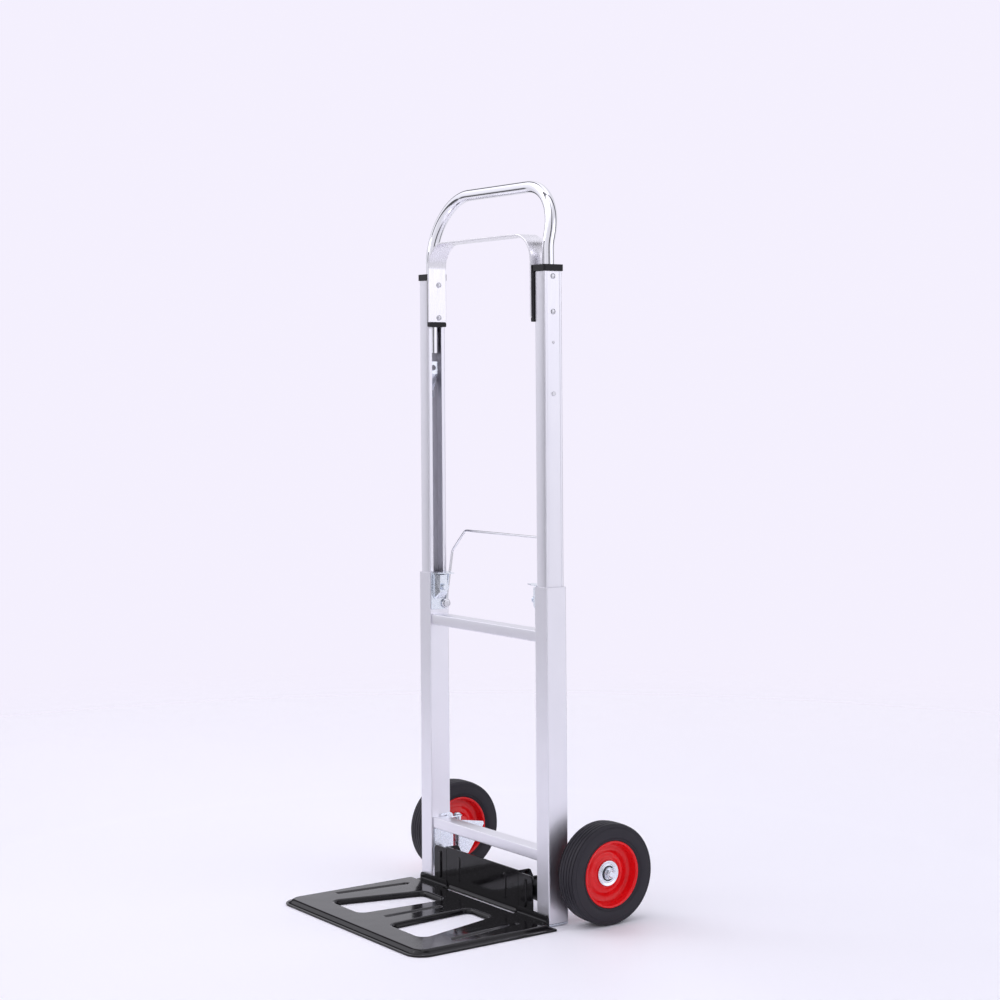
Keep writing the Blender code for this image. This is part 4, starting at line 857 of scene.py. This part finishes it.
def toe_panel():
    """The upright panel, with pressed ribs, and at each end an ear and a turned cheek."""
    wide = PANEL_HALF_WIDTH
    front, back = PANEL_FACE, PANEL_FACE + PANEL_SHEET
    top, low = PANEL_TOP, PLATE_CROWN
    corners = [(-wide, low, 0.001), (wide, low, 0.001), (wide, top, 0.003), (-wide, top, 0.003)]
    panel = prism(filleted(corners, 0.002), front, back, "Y")
    piece("toe_panel", panel, "toe_fold", "enamel", bevel=0.0006)
    hinge_z = middle("toe_hinge_pin_right").z
    for name, side in SIDES:
        pressed_rib(f"toe_panel_rib_{name}", side * 0.062, 0.026, top - 0.014, 0.0045, 0.0011)
        pressed_rib(f"toe_ear_rib_{name}", side * EAR_RIB_X, 0.022, top - 0.012, 0.0034, 0.0022)
        ear_top = top - EAR_DROP
        ear = [(wide - 0.002, ear_top), (wide - 0.002, EAR_BOTTOM), (EAR_HALF_WIDTH, EAR_BOTTOM)]
        ear += arc((EAR_HALF_WIDTH - EAR_CORNER, ear_top - EAR_CORNER), EAR_CORNER, 0, 90, 10)
        ear = [(side * x, z) for x, z in ear]
        piece(f"toe_ear_{name}", prism(ear, front, back, "Y"), "toe_fold", "enamel", bevel=0.0006)
        cheek = [(UPSTAND_BACK, EAR_BOTTOM + 0.006), (HINGE_Y - 0.006, hinge_z - 0.0165)]
        cheek += arc((HINGE_Y, hinge_z), CHEEK_RADIUS, -60, 45, 14)
        cheek += arc((HINGE_Y - 0.004, top - 0.006), 0.006, 45, 90, 6)
        cheek += [(UPSTAND_BACK, top)]
        low_x, high_x = sorted((side * (wide - PLATE_SHEET), side * wide))
        plate = prism(cheek, low_x, high_x, "X")
        piece(f"toe_cheek_{name}", plate, "toe_fold", "enamel", bevel=0.0005)


def toe_hinge_bush(name, side):
    node = f"toe_hinge_bush_{name}"
    low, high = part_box(node)
    inner, outer = sorted((abs(low.x), abs(high.x)))
    bore = PIN_BORE
    centre = middle(f"toe_hinge_pin_{name}")
    radius = (high.y - low.y) / 2
    edge = 0.0018
    body = arc((radius - edge, inner + edge), edge, -90, 0, 5)
    body += [(radius - 0.0006, inner + 0.007), (radius - 0.0006, outer - 0.007)]
    body += arc((radius - edge, outer - edge), edge, 0, 90, 5)
    profile = [(bore, inner)] + body + [(bore, outer)]
    profile = [(size, side * x) for size, x in profile]
    bush = turned(profile, 64)
    for share in (0.3, 0.75):
        x = side * (inner + (outer - inner) * share)
        top = high.z - centre.z
        knob = [(0.0035, radius - 0.003), (0.0035, top - 0.0012), (0.0026, top - 0.0003), (0.001, top)]
        rings = [
            [bush.verts.new((x + u, v, along)) for u, v in circle((0, 0), size, 24)]
            for size, along in knob
        ]
        bridge(bush, rings)
        bush.faces.new(rings[-1])
        bush.faces.new(rings[0])
    at = (0, centre.y - RAIL_Y, centre.z)
    piece(f"{node}_moulded", bush, "toe_fold", "plastic", [node], at)


# ---- wheels ----
def tyre_profile():
    """(radius, along) of the tyre: sidewalls, shoulders and a slightly crowned, grooved tread."""
    half = WHEEL_WIDTH / 2
    seat = HUB_RADIUS + 0.0003
    wall = [
        (seat, half - 0.0034),
        (seat + 0.0010, half - 0.0024),
        (seat + 0.0030, half - 0.0016),
        (seat + 0.0034, half - 0.0022),
        (seat + 0.0040, half - 0.0016),
        (seat + 0.0075, half - 0.0004),
        (seat + 0.0110, half),
        (seat + 0.0150, half - 0.0001),
        (WHEEL_RADIUS - 0.0066, half - 0.0005),
        (WHEEL_RADIUS - 0.0060, half - 0.0011),
        (WHEEL_RADIUS - 0.0054, half - 0.0008),
    ]
    shoulder = arc((WHEEL_RADIUS - 0.0052, half - 0.0058), 0.0050, 80, 45, 5)
    points = wall + shoulder
    crown = 0.0005
    for centre in GROOVES:
        top = WHEEL_RADIUS - crown * (centre / half) ** 2 - max(0.0, centre - 0.0142) * 0.42
        lip = GROOVE_HALF_WIDTH
        points.append((top, centre + lip))
        points.append((top - GROOVE_DEPTH, centre + lip * 0.5))
        points.append((top - GROOVE_DEPTH, centre - lip * 0.5))
        points.append((top + 0.0001, centre - lip))
    points.append((WHEEL_RADIUS, 0.0012))
    return points + [(radius, -along) for radius, along in reversed(points)]


def wheel_tyre(name):
    at = middle(f"tyre_{name}") - Vector((0, RAIL_Y, 0))
    body, node = f"wheel_{name}", f"tyre_{name}"
    piece(f"tyre_tread_{name}", turned(tyre_profile(), 144), body, "rubber", [node], at, smooth=28)


def hub_profile(side):
    """(radius, along) of the pressed wheel disc, from its outer face round to its inner face."""
    half = HUB_WIDTH / 2
    outer = [(0.0085, 0.0060), (0.0205, 0.0060)]
    outer += [(0.0222, 0.0056), (0.0236, 0.0046), (0.0252, 0.0041), (0.0282, 0.0041)]
    outer += [(0.0300, 0.0038), (0.0316, 0.0026), (0.0336, 0.0015), (0.0362, 0.0012)]
    outer += [(0.0400, 0.0013), (0.0418, 0.0020), (0.0432, 0.0036), (0.0440, 0.0062)]
    outer += [(0.0450, half - 0.0040), (0.0456, half - 0.0014), (0.0466, half - 0.0003)]
    outer += [(0.0478, half), (HUB_RADIUS - 0.0004, half - 0.0003), (HUB_RADIUS, half - 0.0012)]
    inner = [(HUB_RADIUS, -half + 0.0012), (HUB_RADIUS - 0.0004, -half + 0.0003), (0.0478, -half)]
    inner += [(0.0466, -half + 0.0003), (0.0456, -half + 0.0014), (0.0446, -half + 0.0060)]
    inner += [(0.0440, -0.0060), (0.0428, -0.0042), (0.0410, -0.0032), (0.0362, -0.0030)]
    inner += [(0.0335, -0.0033), (0.0312, -0.0046), (0.0294, -0.0056), (0.0262, -0.0056)]
    inner += [(0.0236, -0.0062), (0.0214, -0.0100), (0.0196, -0.0172), (0.0186, -0.0180), (0.0085, -0.0180)]
    return [(radius, side * along) for radius, along in outer + inner]


def wheel_hub(name, side):
    at = middle(f"hub_{name}") - Vector((0, RAIL_Y, 0))
    body, node = f"wheel_{name}", f"hub_{name}"
    hub = turned(hub_profile(side), 128)
    piece(f"wheel_disc_{name}", hub, body, "red", [node], at, smooth=50)
    rivet = [(0.0022, 0.0008), (0.0022, 0.0022), (0.0016, 0.0030), (0.0006, 0.0032)]
    stud = turned([(radius, side * along) for radius, along in rivet], 24, closed=False)
    spot = at + Vector((0, -0.0215, 0.0305))
    piece(f"wheel_disc_rivet_{name}", stud, body, "chrome", at=spot)


def hub_bearing(name, side):
    """A flanged bush with a rolled edge and a recessed groove, in which a dark split ring is painted shade.
    """
    node = f"hub_bearing_{name}"
    low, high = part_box(node)
    at = middle(f"hub_{name}") - Vector((0, RAIL_Y, 0))
    face = max(abs(low.x), abs(high.x)) - abs(middle(f"hub_{name}").x)
    flange = (high.z - low.z) / 2
    bore = 0.0054
    back = face - 0.0022
    rolled = arc((flange - 0.0012, back + 0.0012), 0.0012, 0, 90, 6)
    profile = [(bore, -0.0175), (0.0080, -0.0175), (0.0080, back), (flange - 0.0010, back)]
    profile += rolled[:1] + rolled
    profile += [(0.0165, back + 0.0019), (0.0152, back + 0.0014), (0.0138, back + 0.0014)]
    profile += [(0.0128, face - 0.0001), (0.0122, face), (0.0116, face - 0.0002)]
    profile += [(0.0112, back + 0.0006), (0.0094, back + 0.0006), (0.0090, face - 0.0004)]
    profile += [(bore, face - 0.0004)]
    profile = [(radius, side * along) for radius, along in profile]
    body = f"wheel_{name}"
    piece(f"{node}_flange", turned(profile, 96), body, "zinc", [node], at, smooth=30)
    # A near-black split ring in the groove: painted shade where the groove round the washer falls in
    # shadow.
    path = [
        (side * (back + 0.0013), 0.0103 * math.cos(math.radians(t)), 0.0103 * math.sin(math.radians(t)))
        for t in range(40, 331, 5)
    ]
    piece(f"{node}_seal", swept(path, 0.0007, 12), body, "painted_shade_ring", at=at)


def axle_nut(name):
    node = f"axle_nut_{name}"
    low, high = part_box(node)
    centre = (low + high) / 2
    half = (high.x - low.x) / 2
    radius = max(high.y - low.y, high.z - low.z) / 2
    steps = 72
    bore = PIN_BORE
    rings = []
    bm = bmesh.new()
    for along, chamfer in ((-half, 1), (-half + 0.0007, 0), (half - 0.0007, 0), (half, 1)):
        ring = []
        for k in range(steps):
            angle = 2 * math.pi * k / steps
            flat = radius * math.cos(math.pi / 6)
            hexagon = flat / math.cos(angle % (math.pi / 3) - math.pi / 6)
            size = min(hexagon, flat * 1.02) if chamfer else hexagon
            ring.append(bm.verts.new((along, size * math.cos(angle), size * math.sin(angle))))
        rings.append(ring)
    bridge(bm, rings)
    hole = [ring_of(bm, circle((0, 0), bore, steps), along, "X") for along in (half, -half)]
    bridge(bm, [rings[-1], hole[0], hole[1], rings[0]])
    at = centre - Vector((0, RAIL_Y, 0))
    piece(f"{node}_hexagon", bm, f"swing_{name}", "zinc", [node], at, smooth=25)


# ---- CAD nodes that stay as they are, with a finish ----
def dress(node, finish, bevel=0.0004):
    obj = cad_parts[node]
    material, slot = FINISHES[finish]
    obj.data.materials.clear()
    obj.data.materials.append(material)
    weld = obj.modifiers.new("weld", "WELD")
    weld.merge_threshold = 0.00001
    if bevel:
        soften(obj, bevel, 2)


# ---- studio ----
def make_camera():
    camera = bpy.data.objects.new("camera", bpy.data.cameras.new("camera"))
    bpy.context.scene.collection.objects.link(camera)
    camera.data.sensor_width = 36
    camera.data.lens = CAMERA_LENS
    camera.data.shift_y = CAMERA_SHIFT
    azimuth, roll = math.radians(CAMERA_AZIMUTH), math.radians(CAMERA_ROLL)
    ahead = Vector((-math.sin(azimuth), math.cos(azimuth), 0))
    right = ahead.cross(Vector((0, 0, 1)))
    up = Vector((0, 0, 1))
    turned_right = right * math.cos(roll) + up * math.sin(roll)
    turned_up = up * math.cos(roll) - right * math.sin(roll)
    axes = Matrix((turned_right, turned_up, -ahead)).transposed().to_4x4()
    camera.matrix_world = Matrix.Translation(CAMERA_PLACE) @ axes
    bpy.context.scene.camera = camera


def make_world():
    """A pale lavender studio, brighter at the window, overhead and left, with dark panels.

    The camera sees a plain backdrop; every other ray sees the studio.
    """
    scene = bpy.context.scene
    scene.view_settings.view_transform = "Standard"
    world = bpy.data.worlds.new("studio")
    scene.world = world
    world.use_nodes = True
    tree = world.node_tree
    nodes, links = tree.nodes, tree.links

    def node(kind, inputs, output=0, **settings):
        made = nodes.new(kind)
        for key, value in settings.items():
            setattr(made, key, value)
        for key, value in inputs.items():
            if isinstance(value, bpy.types.NodeSocket):
                links.new(value, made.inputs[key])
            else:
                made.inputs[key].default_value = value
        return made.outputs[output]

    direction = nodes.new("ShaderNodeTexCoord").outputs["Generated"]
    level_ground = node("ShaderNodeVectorMath", {0: direction, 1: (1, 1, 0)}, operation="MULTIPLY")
    compass = node("ShaderNodeVectorMath", {0: level_ground}, operation="NORMALIZE")
    height = node("ShaderNodeSeparateXYZ", {0: direction}, "Z")

    def ramp(value, start, end, low, high):
        ends = {"From Min": start, "From Max": end, "To Min": low, "To Max": high}
        inputs = {"Value": value, **ends}
        return node("ShaderNodeMapRange", inputs, interpolation_type="SMOOTHSTEP")

    def lobe(towards, start, end, low, high, source=direction):
        """A value that goes from low to high as the direction turns towards a place."""
        towards = Vector(towards).normalized()
        inputs = {0: source, 1: towards}
        dot = node("ShaderNodeVectorMath", inputs, "Value", operation="DOT_PRODUCT")
        return ramp(dot, start, end, low, high)

    def combine(operation, first, second):
        return node("ShaderNodeMath", {0: first, 1: second}, operation=operation)

    left_front = lobe(LEFT_FRONT, 0.1, 0.9, 0.0, 1.0)
    left_level = combine("MULTIPLY", left_front, ramp(height, -0.06, 0.10, 0.0, 0.20))
    level = combine("ADD", 0.88, left_level)
    over_horizon = ramp(height, -0.02, 0.08, 0.0, 1.0)
    window = combine("MULTIPLY", lobe(WINDOW, 0.88, 0.99, 0.0, 0.85), over_horizon)
    level = combine("ADD", level, window)
    level = combine("ADD", level, lobe(OVERHEAD, 0.55, 0.95, 0.0, 0.75))
    for towards in DARK_PANELS:
        panel = lobe(towards, 0.978, 0.988, 1.0, 0.12, compass)
        level = combine("MULTIPLY", level, panel)
    level = combine("MULTIPLY", level, lobe(DARK_LOW_PANEL, 0.980, 0.993, 1.0, 0.15))
    studio = node("ShaderNodeBackground", {"Color": (0.93, 0.92, 1.0, 1), "Strength": level})
    backdrop_light = {"Color": (0.908, 0.872, 0.99, 1), "Strength": 1.0}
    backdrop = node("ShaderNodeBackground", backdrop_light)
    seen = node("ShaderNodeLightPath", {}, "Is Camera Ray")
    mixed = node("ShaderNodeMixShader", {0: seen, 1: studio, 2: backdrop})
    links.new(mixed, nodes["World Output"].inputs["Surface"])


def make_floor():
    """A pale floor that fades into the backdrop well away from the truck."""
    radius, fade = 2.9, 0.9
    bm = bmesh.new()
    spots = [bm.verts.new((u, v, 0)) for u, v in circle((0, 0), radius, 96)]
    bm.faces.new(spots)
    mesh = bpy.data.meshes.new("floor")
    bm.to_mesh(mesh)
    bm.free()
    floor = bpy.data.objects.new("floor", mesh)
    bpy.context.scene.collection.objects.link(floor)
    finish = Finish("pale_floor", (0.93, 0.92, 0.975), 0.55, {"Specular IOR Level": 0.25})
    cloud = finish.noise(1.5, (1, 1, 1), 3.0)
    finish.colour(finish.blend(cloud, (0.925, 0.915, 0.97), (0.94, 0.93, 0.985)))
    finish.roughness(finish.range(cloud, 0.3, 0.7, 0.45, 0.6))
    length = finish.tree.nodes.new("ShaderNodeVectorMath")
    length.operation = "LENGTH"
    finish.tree.links.new(finish.place, length.inputs[0])
    distance = length.outputs["Value"]
    share = finish.range(distance, fade, radius - 0.3, 1.0, 0.0)
    finish.tree.links.new(share, finish.shader.inputs["Alpha"])
    mesh.materials.append(finish.material)


def make_light(name, place, target, size, power, colour):
    light = bpy.data.lights.new(name, "AREA")
    light.size = size
    light.energy = power
    light.color = colour
    obj = bpy.data.objects.new(name, light)
    obj.location = place
    obj.rotation_euler = (Vector(place) - Vector(target)).to_track_quat("Z", "Y").to_euler()
    bpy.context.scene.collection.objects.link(obj)


def make_studio():
    make_world()
    make_floor()
    centre = (0, 0, 0.5)
    make_light("key", (-1.6, -1.9, 2.7), centre, 1.7, 18, (1.0, 0.98, 1.0))


# ---- the whole truck ----
make_camera()
make_studio()
handle_tube()
handle_brace()
release_bail()
crossbar("mid_bar_tube", mid_bar_low, mid_bar_high, "mid_crossbar")
crossbar("low_bar_tube", low_bar_low, low_bar_high, "low_crossbar")
toe_deck()
toe_ramp()
toe_panel()
for name, side in SIDES:
    lower_rail(name, side)
    upper_rail(name, side)
    lock_spring(name, side)
    web_rivet(name, side)
    toe_upstand(name, side)
    toe_hinge_bush(name, side)
    wheel_tyre(name)
    wheel_hub(name, side)
    hub_bearing(name, side)
    axle_nut(name)
    for level, drop in zip(("high", "low"), RIVET_DROPS):
        node = f"brace_rivet_{level}_{name}"
        blind_rivet(f"blind_rivet_{level}_{name}", side, drop, node)
    fine_turned(f"bail_stud_{name}", "lower_frame", "steel")
    fine_turned(f"toe_hinge_pin_{name}", "lower_frame", "steel")
    fine_turned(f"swing_pin_{name}", "lower_frame", "zinc", "Z")
    fine_turned(f"catch_rivet_{name}", "upper_frame", "steel")
    fine_turned(f"lock_pin_{name}", f"pin_{name}", "zinc")
    fine_turned(f"axle_{name}", f"swing_{name}", "zinc")
    fine_ring(f"axle_spacer_{name}", f"swing_{name}", "steel", PIN_BORE)
    fine_ring(f"axle_washer_{name}", f"swing_{name}", "zinc", PIN_BORE)
    for part in ("release_bracket", "catch_plate", "wheel_bracket", "swing_bracket", "rail_foot"):
        dress(f"{part}_{name}", "zinc")
    dress(f"end_cap_{name}", "plastic", 0.0006)
    dress(f"slide_bush_{name}", "plastic")
